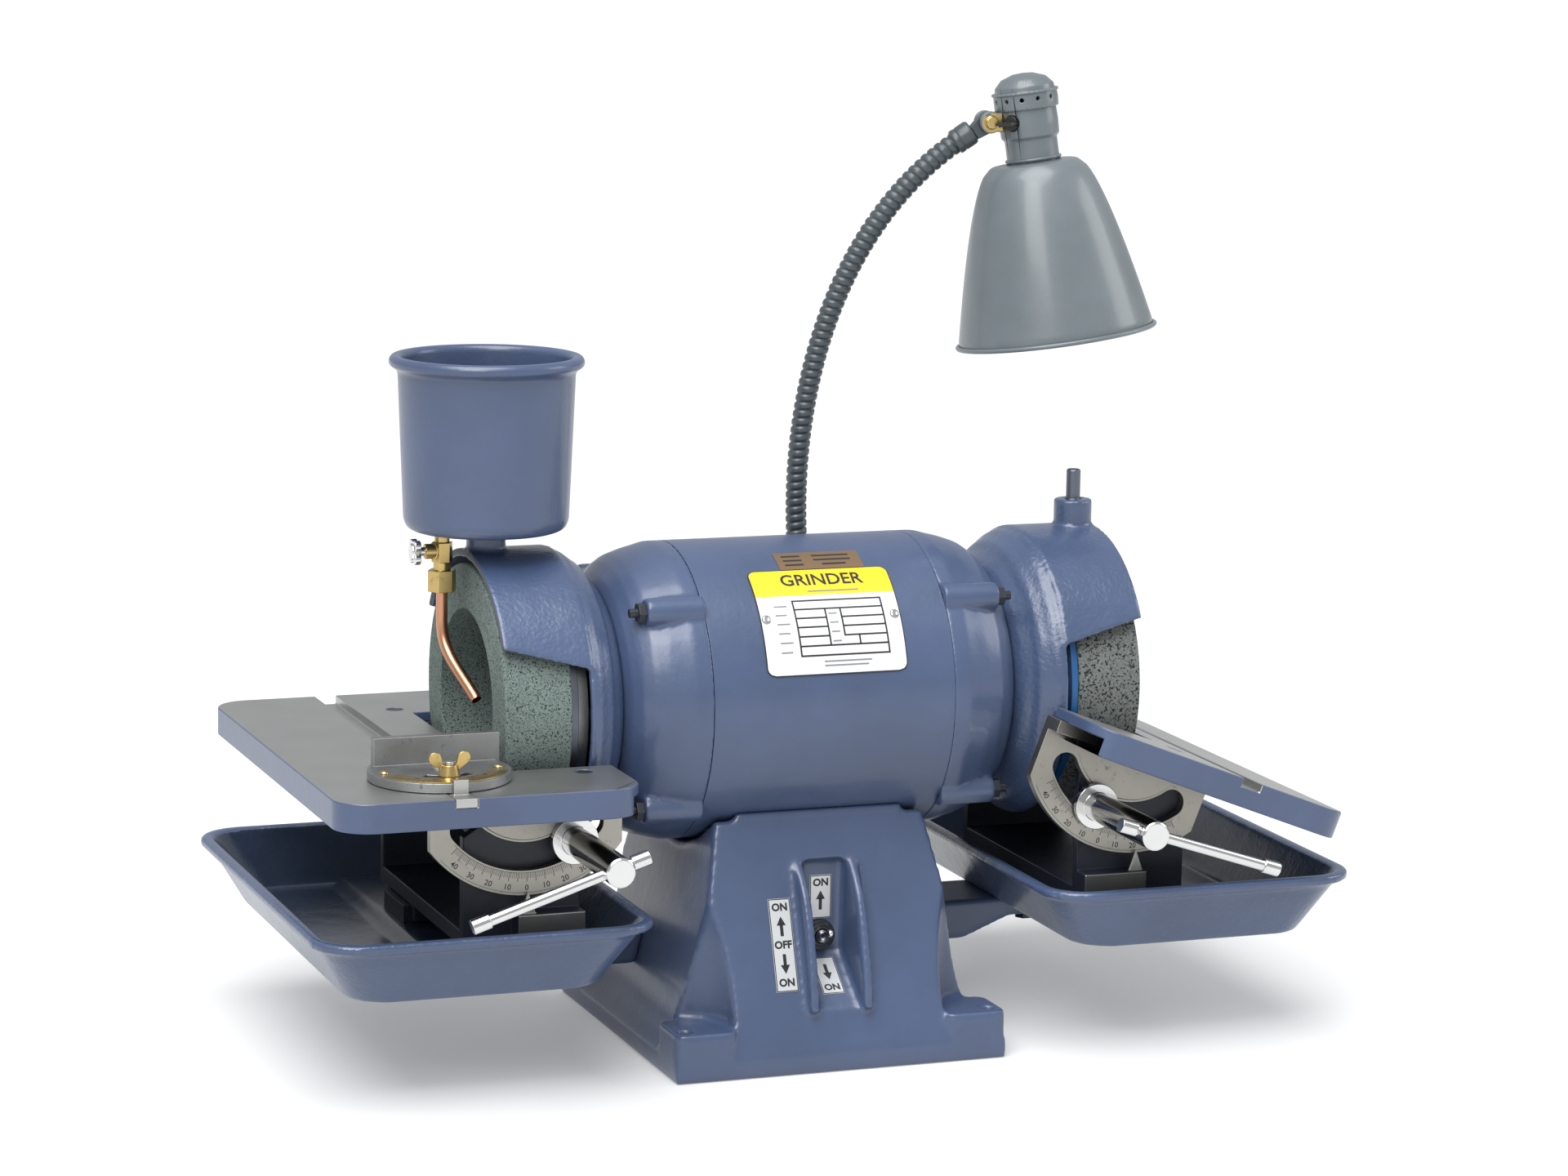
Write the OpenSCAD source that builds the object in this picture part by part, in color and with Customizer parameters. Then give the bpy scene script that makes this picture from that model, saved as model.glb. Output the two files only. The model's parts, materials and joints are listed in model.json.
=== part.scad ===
// Two-wheel bench grinder with tilting work tables, coolant trays, a water pot and a gooseneck lamp.
// X runs along the motor shaft, the operator stands on the -Y side, Z is up.
// The origin is the centre of the base's bottom face.

/* [Motor] */
// Height of the shaft above the bench
axis_z = 200; // [196:1:225]
// Outer radius of the motor shell
motor_r = 84; // [84:0.5:86]
// Length of the motor shell between its two end bells
shell_len = 142; // [132:1:144]
// Wall of the motor shell
shell_wall = 8; // [7:0.5:9]
// Shaft diameter in the bearings
shaft_d = 20; // [16:0.5:21]

/* [Wheels] */
// Diameter of a grinding wheel
wheel_d = 152.4; // [124:0.1:153]
// Width of a grinding wheel
wheel_w = 38; // [28:0.5:38]
// Diameter of the hole in a wheel's face
wheel_hole_d = 101.6; // [90:0.1:112]
// Distance from the machine's centre to a wheel's outer face
wheel_face_x = 188; // [186:0.5:189]

/* [Base] */
// Width of the base flange
base_w = 196; // [190:1:210]
// Depth of the base flange
base_d = 211; // [205:1:225]
// Height of the pedestal's shoulder under the motor
pedestal_h = 135; // [130:1:138]
// Spacing of the bench bolt holes along X
bolt_dx = 180; // [176:1:184]
// Spacing of the bench bolt holes along Y
bolt_dy = 190; // [186:1:194]
// Diameter of a bench bolt hole
bolt_hole_d = 8.5; // [6:0.5:11]

/* [Tables] */
// Height of a level table's top face
table_z = 177; // [174:1:178]
// Distance from the centre to a table's inner edge
table_x0 = 130; // [129:1:134]
// Distance from the centre to a table's outer edge
table_x1 = 298; // [275:1:310]
// Depth of a table
table_d = 291; // [270:1:320]
// Thickness of a table's top plate
table_t = 6; // [5:0.5:7]
// Tilt of the right table at rest, outer edge down
right_tilt = 21; // [5:1:30]
// Width of the mitre gauge slot
slot_w = 12; // [8:0.5:14]
// Distance from the centre to the mitre gauge slot
slot_x = 230; // [226:1:236]

/* [Trays] */
// Distance from the centre to a tray's inner rim
tray_x0 = 117; // [112:1:120]
// Distance from the centre to a tray's outer rim
tray_x1 = 302; // [290:1:320]
// Height of a tray's rim
tray_top = 98; // [90:1:100]
// Wall of a tray
tray_wall = 3.5; // [2.5:0.5:5]

/* [Water pot] */
// Outer diameter of the pot at its rim
pot_d = 98; // [90:1:104]
// Height of the pot
pot_h = 97; // [60:1:130]
// Diameter of the pin the pot turns on
pin_d = 8.2; // [6:0.2:10]

/* [Lamp] */
// Diameter of the gooseneck
neck_d = 12.5; // [10:0.5:13.5]
// Diameter of the shade's rim
shade_d = 117; // [90:1:140]
// Height of the shade
shade_h = 104; // [80:1:120]

/* [Hidden] */
$fn = 64;

// Fits and common gaps
run_gap = 0.05;   // radial play of a running fit
body_gap = 0.4;   // gap between pieces that move past each other

// Colours
enamel = [0.36, 0.41, 0.57];
lamp_grey = [0.49, 0.53, 0.55];
steel = [0.72, 0.72, 0.72];
bright = [0.9, 0.9, 0.9];
brass = [0.8, 0.67, 0.35];

// Base
slope_x = 0.2;            // the pedestal's sides widen this much per mm of drop
slope_y = 0.36;           // and so do its front and back
shoulder_x = 62;          // half width at the shoulder
shoulder_y = 61;          // half depth at the shoulder
base_wall = 7;
pad_h = 27;               // height of the corner pads
scoop_r = 28;             // clearance cut round each bench bolt
cradle_r = motor_r + 2;   // the shoulder clears the shell outside the saddle
saddle_wall = 9;
motor_bolt_x = 36;
motor_bolt_y = 24;
switch_z = 68;
pocket_x = 13;            // half width of the switch pocket
pocket_top = 112;
pocket_bottom = 34;
pocket_y = -64;           // face of the switch panel
panel_low = 58.6;         // lower edge of the upright panel, the plate below it slopes out
rib_t = 5.5;
cover_t = 2.5;

// Motor
half_shell = shell_len / 2;
shell_in = motor_r - shell_wall;
stud_r = motor_r - 3;     // radius of the ring of end bell studs
stud_d = 5;
boss_d = 16;
stud_angles = [43, 137, 223, 317];
bell_face = 116;          // outer face of an end bell
bearing_r = 23.5;
bearing_x0 = 95.5;
bearing_w = 14;
stator_half = 35;
rotor_r = 44.7;
seat_r = shaft_d / 2 - 1; // the wheel flanges sit on this radius
thread_r = seat_r - 1;    // and the shaft's threaded ends have this one

// Hoods and wheels
hood_r = motor_r + 0.4;
hood_wall = 4.7;
hood_x = wheel_face_x + 0.9;
disc_x = 141;             // front edge of the full disc behind a wheel
disc_r = motor_r - 1.5;
lip_in = 29;              // height of the hood's lip above the shaft at the disc
lip_out = 41;             // and at the open rim
boss_x = wheel_face_x - 11.2;
boss_top = axis_z + 99.4;
pot_boss_r = 11;
pin_top = boss_top + 17.2;
pin_shoulder = 0.5;       // the pressed end of a pin is this much larger in radius
wheel_r = wheel_d / 2;
wheel_hole_r = wheel_hole_d / 2;
wheel_back_x = wheel_face_x - wheel_w;
backing_t = 4;
flange_t = 7;
flange_x = wheel_back_x - backing_t - flange_t;

// Tables
pivot = [180, 0, table_z];
cut_x = 194.5;            // outer end of the cut-out round the wheel
cut_y = motor_r;          // half depth of that cut-out
skirt_h = 16;
skirt_t = 6;
table_corner = 20;
slot_h = 5;
trunnion_r = 68;
trunnion_w = 54;          // half width of a trunnion plate
trunnion_y = 84;          // inner face of a trunnion plate
trunnion_t = 6.5;
flange_d = 18;            // depth of the flange that carries the table
table_screw_y = trunnion_y + 12;
arc_r0 = 38.6;            // inner and outer radius of the arc slot
arc_r1 = 54;
arc_half = 50;
tilt_max = 32;            // steepest tilt of a table, outer edge down
clamp_angle = 34;         // place of the clamp stud, from straight down
arc_mid = (arc_r0 + arc_r1) / 2;
hub_y0 = -(trunnion_y + trunnion_t + 1.4);
hub_y1 = -175;
hub_r = 8.2;
stud_hole = 6;            // radius of the clamp stud
cross_bar_r = 3.1;
cross_bar_y = -166;
bar_drop = 18;            // slope of the cross bar
bar_out = 78;
bar_in = 14;
way_z0 = 70;
way_z1 = 80;
way_half = 20.6;          // half depth of a slide way
gib_t = 6;                // the bracket's guides on either side of the way
saddle_z = way_z1 + body_gap;
saddle_t = 9;
bracket_x0 = 148;
bracket_x1 = 214;

// Trays
tray_y0 = -129;
tray_y1 = 164;
tray_bottom = 61;
tray_slant = 23;
tray_pad_x1 = 222;
arm_y0 = 14;
arm_y1 = 66;
arm_low = 38;
arm_seat = 50;            // underside of an arm where the tray bolts' nuts sit
way_y = (arm_y0 + arm_y1) / 2;
tray_bolt_r = 3.2;
nut_h = 5;
bench_bolt_clear = 24;    // the bottom cover keeps this far from the bench bolts
cover_z = 0.8;
cover_screw = [75, 68];
cover_screw_r = 1.7;
gland_z = 45;

// Gauge
gauge_y = -93;
gauge_r = 38.5;
fence_x0 = -262;
fence_x1 = -(wheel_face_x + 4);
fence_y = -72;
fence_h = 20;
gauge_t = 5;

// Pot, valve and tube
pot_z = boss_top - 4.1;
pot_wall = 3;
valve_x = -202;
tube_r = 3.2;
tube_bore = 2.2;

// Lamp
neck_x = 42;
neck_y = 95;
neck_socket_z = 206;
lamp_joint = [139, 50.3, 513.3];
lamp_seat = [167.6, 48, 490.5];
lamp_turn = [-4, -7.8, 0];
shade_top_r = 27.5;
shade_wall = 1;
shade_bulge = 0.66;       // the shade's radius grows with this power of the share of its height
key_angle = 213;          // direction the lamp's key points in
flex_at = 0.5;            // place of the flex joint along the neck's curve
flex_gap = 1.4;

// ---------- helpers ----------

module xcyl(r, x0, x1) { translate([x0, 0, 0]) rotate([0, 90, 0]) cylinder(r = r, h = x1 - x0); }

module ycyl(r, y0, y1) { translate([0, y0, 0]) rotate([-90, 0, 0]) cylinder(r = r, h = y1 - y0); }

module zcyl(r, z0, z1) { translate([0, 0, z0]) cylinder(r = r, h = z1 - z0); }

// Profile points are [radius, x]
module on_axis(pts) { translate([0, 0, axis_z]) rotate([0, 90, 0]) rotate_extrude() polygon(pts); }

// Prism along X of [y, z] points
module prism_x(pts, x0, x1) {
  translate([x0, 0, 0]) rotate([90, 0, 90]) linear_extrude(x1 - x0) polygon(pts);
}

// Prism along Y of [x, z] points
module prism_y(pts, y0, y1) {
  translate([0, y1, 0]) rotate([90, 0, 0]) linear_extrude(y1 - y0) polygon(pts);
}

module rrect(x0, x1, y0, y1, r) {
  translate([x0 + r, y0]) square([x1 - x0 - 2 * r, y1 - y0]);
  translate([x0, y0 + r]) square([x1 - x0, y1 - y0 - 2 * r]);
  for (x = [x0 + r, x1 - r], y = [y0 + r, y1 - r]) translate([x, y]) circle(r);
}

module hex(af, h) { cylinder(r = af / sqrt(3), h = h, $fn = 6); }

module at_corners(dx, dy) { for (x = [-dx, dx], y = [-dy, dy]) translate([x, y, 0]) children(); }

module both() {
  children();
  mirror([1, 0, 0]) children();
}

module side(s) {
  if (s > 0) children();
  else mirror([1, 0, 0]) children();
}

module at_studs(r) { for (a = stud_angles) translate([0, r * cos(a), axis_z + r * sin(a)]) children(); }

function unit(v) = v / norm(v);
function bez(p, t) = pow(1 - t, 3) * p[0] + 3 * t * pow(1 - t, 2) * p[1] + 3 * t * t * (1 - t) * p[2] + t * t * t * p[3];
function bez_dir(p, t) = unit(pow(1 - t, 2) * (p[1] - p[0]) + 2 * t * (1 - t) * (p[2] - p[1]) + t * t * (p[3] - p[2]));
function ring(c, t, side_dir, r, n) =
  let (u = unit(cross(side_dir, t)), w = cross(t, u)) [for (i = [0:n - 1]) c + r * (cos(360 * i / n) * u + sin(360 * i / n) * w)];

// Round bar swept along a curve from t0 to t1
module bez_bar(p, t0, t1, side_dir, r, steps, n) {
  rings = [for (k = [0:steps]) let (t = t0 + (t1 - t0) * k / steps) ring(bez(p, t), bez_dir(p, t), side_dir, r, n)];
  pts = [for (q = rings) each q];
  walls = [for (k = [0:steps - 1], i = [0:n - 1])
    [k * n + i, (k + 1) * n + i, (k + 1) * n + (i + 1) % n, k * n + (i + 1) % n]];
  polyhedron(pts, concat([[for (i = [0:n - 1]) i]], walls, [[for (i = [n - 1:-1:0]) steps * n + i]]));
}

// Turns a child's Z axis along v
module along(c, v) {
  translate(c) rotate([0, acos(v[2] / norm(v)), atan2(v[1], v[0])]) children();
}

// ---------- base ----------

function half_w(z) = shoulder_x + (pedestal_h - z) * slope_x;
function half_d(z) = shoulder_y + (pedestal_h - z) * slope_y;

module mirrored_prism_y(half, y0, y1) {
  prism_y(concat(half, [for (i = [len(half) - 1:-1:0]) [-half[i][0], half[i][1]]]), y0, y1);
}

module mirrored_prism_x(half, x0, x1) {
  prism_x(concat(half, [for (i = [len(half) - 1:-1:0]) [-half[i][0], half[i][1]]]), x0, x1);
}

module pedestal_outer() {
  intersection() {
    mirrored_prism_y([[base_w / 2, 0], [base_w / 2, 10], [base_w / 2 - 6, 18], [base_w / 2 - 12, 28],
      [half_w(42) + 0.5, 42], [half_w(55), 55], [shoulder_x, pedestal_h]], -base_d / 2, base_d / 2);
    mirrored_prism_x([[base_d / 2, 0], [base_d / 2, 11], [half_d(pad_h), pad_h], [shoulder_y, pedestal_h]],
      -base_w / 2, base_w / 2);
  }
}

module pedestal_void() {
  top = pedestal_h - base_wall;
  difference() {
    intersection() {
      mirrored_prism_y([[base_w / 2 - base_wall, -1], [base_w / 2 - base_wall - 1, 8], [half_w(30) - base_wall, 30],
        [shoulder_x - base_wall, top]], -base_d / 2, base_d / 2);
      mirrored_prism_x([[base_d / 2 - base_wall, -1], [base_d / 2 - base_wall, 8], [half_d(pad_h) - base_wall, pad_h],
        [shoulder_y - base_wall, top]], -base_w / 2, base_w / 2);
    }
    translate([0, 0, axis_z]) xcyl(motor_r + saddle_wall, -base_w, base_w);
    at_corners(bolt_dx / 2, bolt_dy / 2) zcyl(scoop_r + 6, -2, pedestal_h);
    prism_x([[pocket_y + 6, pocket_top + 6], [pocket_y + 6, panel_low - 2], [-half_d(pocket_bottom) + 8, pocket_bottom],
      [-half_d(pocket_bottom) + 8, 26], [-base_d, 26], [-base_d, pocket_top + 6]],
      -pocket_x - rib_t, pocket_x + rib_t);
  }
}

module switch_ribs() {
  for (x = [-pocket_x - rib_t, pocket_x])
    prism_x([[pocket_y, pocket_top + 1], [pocket_y - 5, pocket_top + 1], [-79, 103], [-86, 94], [-92, 80],
      [-100, 52], [-103, pocket_bottom], [-90, pocket_bottom - 2], [pocket_y, panel_low - 1]], x, x + rib_t);
}

module base_pedestal() {
  color(enamel) difference() {
    union() {
      difference() {
        union() {
          difference() {
            pedestal_outer();
            translate([0, 0, axis_z]) xcyl(cradle_r, -base_w, base_w);
            at_corners(bolt_dx / 2, bolt_dy / 2) zcyl(scoop_r, pad_h, pedestal_h + 1);
          }
          intersection() {
            mirrored_prism_x([[shoulder_y, pedestal_h - 30], [shoulder_y, pedestal_h + 5]], -50, 50);
            translate([-50, -shoulder_y, 100]) cube([100, 2 * shoulder_y, 60]);
          }
        }
        pedestal_void();
        translate([0, 0, axis_z]) xcyl(motor_r, -51, 51);
        prism_x([[pocket_y, pocket_top], [-base_d, pocket_top], [-base_d, pocket_bottom],
          [-half_d(pocket_bottom) + 0.6, pocket_bottom], [pocket_y, panel_low]], -pocket_x, pocket_x);
      }
      switch_ribs();
      corner_pads();
    }
    at_corners(bolt_dx / 2, bolt_dy / 2) zcyl(bolt_hole_d / 2, -1, pad_h + 1);
    at_corners(motor_bolt_x, motor_bolt_y) {
      zcyl(8.5, 90, 112);
      zcyl(4, 100, 130);
    }
    zcyl(9, 90, 130);
    translate([0, 0, -1]) linear_extrude(cover_z + cover_t + 1) cover_outline(0.3);
    at_corners(cover_screw[0], cover_screw[1]) zcyl(cover_screw_r, 0, cover_t + 12);
    translate([0, 0, switch_z]) ycyl(6, pocket_y - 10, pocket_y + 10);
    translate([0, 0, gland_z]) ycyl(7, 60, base_d);
    translate([0, 0, gland_z]) ycyl(12.5, half_d(gland_z) + 2, base_d);
    for (y = [arm_y0 + 14, arm_y1 - 14], s = [-1, 1])
      translate([0, y, 50]) xcyl(3.1, s > 0 ? 60 : -100, s > 0 ? 100 : -60);
  }
}

module corner_pads() {
  for (sx = [0, 1], sy = [0, 1])
    mirror([sx, 0, 0]) mirror([0, sy, 0])
      linear_extrude(pad_h) difference() {
        rrect(base_w / 2 - 36, base_w / 2, base_d / 2 - 36, base_d / 2, 6);
        polygon([[base_w / 2 - 40, base_d / 2 - 40], [base_w / 2 - 22, base_d / 2 - 40], [base_w / 2 - 40, base_d / 2 - 22]]);
      }
}

module cover_outline(grow) {
  x = base_w / 2 - base_wall - 0.4 + grow;
  y = base_d / 2 - base_wall - 0.4 + grow;
  difference() {
    translate([-x, -y]) square([2 * x, 2 * y]);
    at_corners(bolt_dx / 2, bolt_dy / 2) circle(bench_bolt_clear - grow);
  }
}

module base_cover() {
  color(steel) difference() {
    translate([0, 0, cover_z]) linear_extrude(cover_t) cover_outline(0);
    at_corners(cover_screw[0], cover_screw[1]) zcyl(cover_screw_r, 0, 5);
    for (x = [-30:15:30]) translate([x - 2, -20, 0]) cube([4, 40, 5]);
  }
}

module base_fasteners() {
  color(steel) {
    at_corners(motor_bolt_x, motor_bolt_y) {
      translate([0, 0, 106.5]) hex(13, 5.5);
      zcyl(4, 111.9, 125.5);
    }
    at_corners(cover_screw[0], cover_screw[1]) zcyl(cover_screw_r, cover_z, 13);
  }
}

module capacitor() {
  color([0.2, 0.2, 0.22]) {
    translate([0, 40, 60]) xcyl(17, -38, 38);
    for (y = [33, 47]) translate([38, y, 60]) translate([0, -1.5, -3]) cube([7, 3, 6]);
  }
  color(steel) translate([0, 40, 60]) difference() {
    union() {
      xcyl(18.2, -6, 6);
      translate([-6, 15, -4]) cube([12, half_d(68) - base_wall - 56.3, 8]);
    }
    xcyl(17, -7, 7);
  }
}

module power_gland() {
  back = half_d(gland_z);
  color([0.12, 0.12, 0.13]) translate([0, 0, gland_z]) difference() {
    union() {
      ycyl(6.9, back - 14, back + 3);
      translate([0, back + 2, 0]) rotate([-90, 0, 0]) hex(20, 6);
      ycyl(8, back + 7.5, back + 18);
      translate([0, back - 16, 0]) rotate([-90, 0, 0]) hex(20, 3.6);
    }
    ycyl(4.5, back - 20, back + 20);
  }
}

// ---------- motor ----------

module motor_shell() {
  color(enamel) difference() {
    on_axis([[shell_in, -half_shell], [motor_r, -half_shell], [motor_r, half_shell], [shell_in, half_shell]]);
    at_studs(stud_r) {
      xcyl(stud_d / 2, -half_shell - 1, -half_shell + 14);
      xcyl(stud_d / 2, half_shell - 14, half_shell + 1);
    }
    at_corners(motor_bolt_x, motor_bolt_y) zcyl(4, 100, 140);
    zcyl(9, 100, 130);
  }
}

module end_bell() {
  on_bell = [[motor_r, half_shell], [motor_r, half_shell + 9], [motor_r - 1.4, 85], [motor_r - 3.4, 93],
    [motor_r - 6.4, 102], [motor_r - 10.5, 108], [motor_r - 16.5, 113], [61.5, bell_face],
    [shaft_d / 2 + 1.5, bell_face], [shaft_d / 2 + 1.5, bearing_x0 + bearing_w + 0.5],
    [bearing_r, bearing_x0 + bearing_w + 0.5], [bearing_r, bearing_x0 - 1.5], [bearing_r + 6.5, bearing_x0 - 1.5],
    [bearing_r + 6.5, 108], [58, 108], [66, 103], [71, 95], [71, half_shell - 4],
    [shell_in - 0.02, half_shell - 4], [shell_in - 0.02, half_shell]];
  color(enamel) difference() {
    union() {
      on_axis(on_bell);
      at_studs(stud_r) xcyl(boss_d / 2, half_shell, 104);
    }
    at_studs(stud_r) xcyl(stud_d / 2 + 0.1, half_shell - 1, 110);
    for (a = [45:90:315]) translate([0, 40 * cos(a), axis_z + 40 * sin(a)]) xcyl(2.5, 100, 120);
  }
}

module left_end_bell() { side(-1) end_bell(); }

module right_end_bell() { side(1) end_bell(); }

module end_bell_studs() {
  color([0.25, 0.25, 0.3]) both() at_studs(stud_r) {
    xcyl(stud_d / 2, half_shell - 13, 113);
    difference() {
      translate([104, 0, 0]) rotate([0, 90, 0]) rotate(30) hex(10, 4.5);
      xcyl(stud_d / 2, 103, 110);
    }
  }
}

module stator_core() {
  color([0.4, 0.4, 0.42]) on_axis([[rotor_r + 0.5, -stator_half], [shell_in, -stator_half],
    [shell_in, stator_half], [rotor_r + 0.5, stator_half]]);
}

module stator_windings() {
  color([0.65, 0.33, 0.15]) both()
    on_axis([[52, stator_half], [70, stator_half], [70, 52], [66, 57], [56, 57], [52, 53]]);
}

module bearing_outers() {
  color(bright) both() on_axis([[19.5, bearing_x0], [bearing_r, bearing_x0],
    [bearing_r, bearing_x0 + bearing_w], [19.5, bearing_x0 + bearing_w]]);
}

// ---------- hoods ----------

module hood_cover() {
  difference() {
    on_axis([[hood_r - hood_wall, disc_x - 1], [hood_r, disc_x - 1], [hood_r, hood_x], [hood_r - hood_wall, hood_x]]);
    prism_y([[disc_x - 12, 60], [disc_x - 12, axis_z + lip_in - 1.5], [disc_x, axis_z + lip_in],
      [hood_x, axis_z + lip_out], [hood_x + 5, axis_z + lip_out], [hood_x + 5, 60]], -120, 120);
  }
}

module hood() {
  color(enamel) difference() {
    union() {
      on_axis([[61.5, bell_face], [66, 119], [71, 124], [75.4, 126.5], [78.4, 131], [disc_r - 1, 135],
        [disc_r, 138], [disc_r, disc_x], [disc_r - 3.5, disc_x], [75, 136.5], [70, 132], [64, 128], [56, 124],
        [50, 122], [26, 122], [26, bell_face]]);
      hood_cover();
      translate([boss_x, 0, 0]) difference() {
        zcyl(pot_boss_r, axis_z + 60, boss_top);
        translate([-boss_x, 0, axis_z]) xcyl(hood_r - 1, 100, 200);
      }
    }
    translate([boss_x, 0, 0]) zcyl(pin_d / 2 + pin_shoulder, boss_top - 13, boss_top + 1);
    for (a = [45:90:315]) translate([0, 40 * cos(a), axis_z + 40 * sin(a)]) xcyl(2.6, bell_face - 1, 130);
  }
}

module left_hood() { side(-1) hood(); }

module right_hood() { side(1) hood(); }

module hood_screws() {
  color([0.2, 0.2, 0.22]) both() for (a = [45:90:315])
    translate([0, 40 * cos(a), axis_z + 40 * sin(a)]) {
      xcyl(2.5, 108, 122);
      xcyl(4.5, 122, 127);
    }
}

module hood_pins() {
  color([0.5, 0.5, 0.55]) both() translate([boss_x, 0, 0]) {
    zcyl(pin_d / 2 + pin_shoulder, boss_top - 13, boss_top);
    zcyl(pin_d / 2, boss_top, pin_top - 0.8);
    translate([0, 0, pin_top - 0.8]) cylinder(r1 = pin_d / 2, r2 = pin_d / 2 - 0.8, h = 0.8);
  }
}

// ---------- plates on the motor ----------

// Curved plate on the shell between two heights in degrees above horizontal at the front
module shell_plate(low, high, x0, x1, t) {
  translate([0, 0, axis_z]) rotate([0, 90, 0]) rotate([0, 0, 270 - high])
    rotate_extrude(angle = high - low) translate([motor_r, x0]) square([t, x1 - x0]);
}

module nameplate() {
  color([0.9, 0.9, 0.88]) difference() {
    shell_plate(13.7, 59, -40, 43, 0.6);
    for (x = [-36, 39]) translate([x, 0, axis_z]) rotate([90 - 36, 0, 0]) zcyl(1.2, motor_r - 2, motor_r + 3);
  }
  color(bright) for (x = [-36, 39]) translate([x, 0, axis_z]) rotate([90 - 36, 0, 0]) {
    zcyl(1.2, motor_r + 0.02, motor_r + 0.7);
    translate([0, 0, motor_r + 0.65]) cylinder(r1 = 2.6, r2 = 1.6, h = 0.9);
  }
}

module rating_sticker() { color([0.7, 0.5, 0.35]) shell_plate(59.4, 70.5, -19, 31, 0.3); }

// ---------- switch ----------

module switch_body() {
  color([0.15, 0.15, 0.16]) translate([0, 0, switch_z]) difference() {
    union() {
      ycyl(5.9, pocket_y - 4, pocket_y + 6);
      translate([-9, pocket_y + 6, -15]) cube([18, 24, 30]);
      for (x = [-5, 5], z = [-9, 0, 9]) translate([x - 1, pocket_y + 29, z - 2]) cube([2, 7, 4]);
    }
    translate([0, pocket_y - 4, 0]) sphere(r = 4.2);
    ycyl(3.6, pocket_y - 8, pocket_y - 3);
  }
}

module switch_collar() {
  color([0.08, 0.08, 0.08]) translate([0, pocket_y - 3.6, switch_z]) difference() {
    union() {
      rotate([-90, 0, 0]) hex(14, 2.1);
      ycyl(8.6, 2, 3.5);
    }
    ycyl(5.9, -1, 4);
  }
}

module switch_plates() {
  lower_tilt = atan2(0.6 - half_d(pocket_bottom) - pocket_y, panel_low - pocket_bottom);
  color(bright) {
    translate([-6.5, pocket_y - 0.4, switch_z + 9.5]) cube([13, 0.4, 25]);
    translate([0, pocket_y, panel_low]) rotate([lower_tilt, 0, 0])
      translate([-6.5, -0.4, -31]) cube([13, 0.4, 26]);
    translate([-29.5, -half_d(69), 69]) rotate([-atan(slope_y), 0, 0]) translate([-6.5, -0.4, -26]) cube([13, 0.4, 52]);
  }
}

module toggle_lever() {
  color(bright) translate([0, pocket_y - 4, switch_z]) rotate([-20, 0, 0]) {
    sphere(r = 4);
    rotate([90, 0, 0]) cylinder(r1 = 1.6, r2 = 2.1, h = 14);
    translate([0, -14, 0]) sphere(r = 2.1);
  }
}

// ---------- rotor ----------

module shaft() {
  color(steel) translate([0, 0, axis_z]) {
    xcyl(shaft_d / 2, -115, 115);
    xcyl(seat_r, -flange_x - flange_t, flange_x + flange_t);
    xcyl(thread_r, -160, 160);
    xcyl(13, -94, -80);
    xcyl(13, 80, 94);
  }
}

module rotor_core() {
  color([0.45, 0.45, 0.48]) on_axis([[shaft_d / 2, -stator_half - 6], [24, -stator_half - 6], [43, -stator_half - 6],
    [43, -stator_half], [rotor_r, -stator_half], [rotor_r, stator_half], [43, stator_half],
    [43, stator_half + 6], [shaft_d / 2, stator_half + 6]]);
}

module cooling_fan() {
  color([0.6, 0.6, 0.62]) {
    on_axis([[shaft_d / 2, 60], [15, 60], [15, 63], [48, 63], [48, 65], [15, 65], [15, 76], [shaft_d / 2, 76]]);
    for (a = [0:45:315]) translate([0, 0, axis_z]) rotate([a, 0, 0]) translate([64.9, -1, 20]) cube([9, 2, 28]);
  }
}

module bearing_inners() {
  color(bright) both() {
    on_axis([[shaft_d / 2, bearing_x0], [14, bearing_x0], [14, bearing_x0 + bearing_w],
      [shaft_d / 2, bearing_x0 + bearing_w]]);
    for (a = [0:45:315]) translate([bearing_x0 + bearing_w / 2, 16.64 * cos(a), axis_z + 16.64 * sin(a)]) sphere(r = 2.65);
  }
}

module wheel_flanges() {
  color(steel) both() difference() {
    on_axis([[seat_r, flange_x - 9], [18, flange_x - 9], [18, flange_x], [70, flange_x],
      [70, flange_x + flange_t], [seat_r, flange_x + flange_t]]);
    for (a = [0:60:300]) translate([0, 60 * cos(a), axis_z + 60 * sin(a)]) xcyl(2.5, flange_x - 1, flange_x + flange_t + 1);
  }
}

module wheel() {
  on_axis([[wheel_hole_r, wheel_back_x], [wheel_r, wheel_back_x], [wheel_r, wheel_face_x - 1],
    [wheel_r - 1, wheel_face_x], [wheel_hole_r, wheel_face_x]]);
}

module left_wheel() { color([0.52, 0.58, 0.55]) side(-1) wheel(); }

module right_wheel() { color([0.42, 0.44, 0.43]) side(1) wheel(); }

module wheel_backings() {
  color([0.15, 0.3, 0.6]) both() difference() {
    on_axis([[26, wheel_back_x - backing_t], [wheel_r - 1.5, wheel_back_x - backing_t],
      [wheel_r - 1.5, wheel_back_x], [26, wheel_back_x]]);
    for (a = [0:60:300]) translate([0, 60 * cos(a), axis_z + 60 * sin(a)])
      xcyl(2.5, wheel_back_x - backing_t - 1, wheel_back_x + 1);
  }
}

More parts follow.
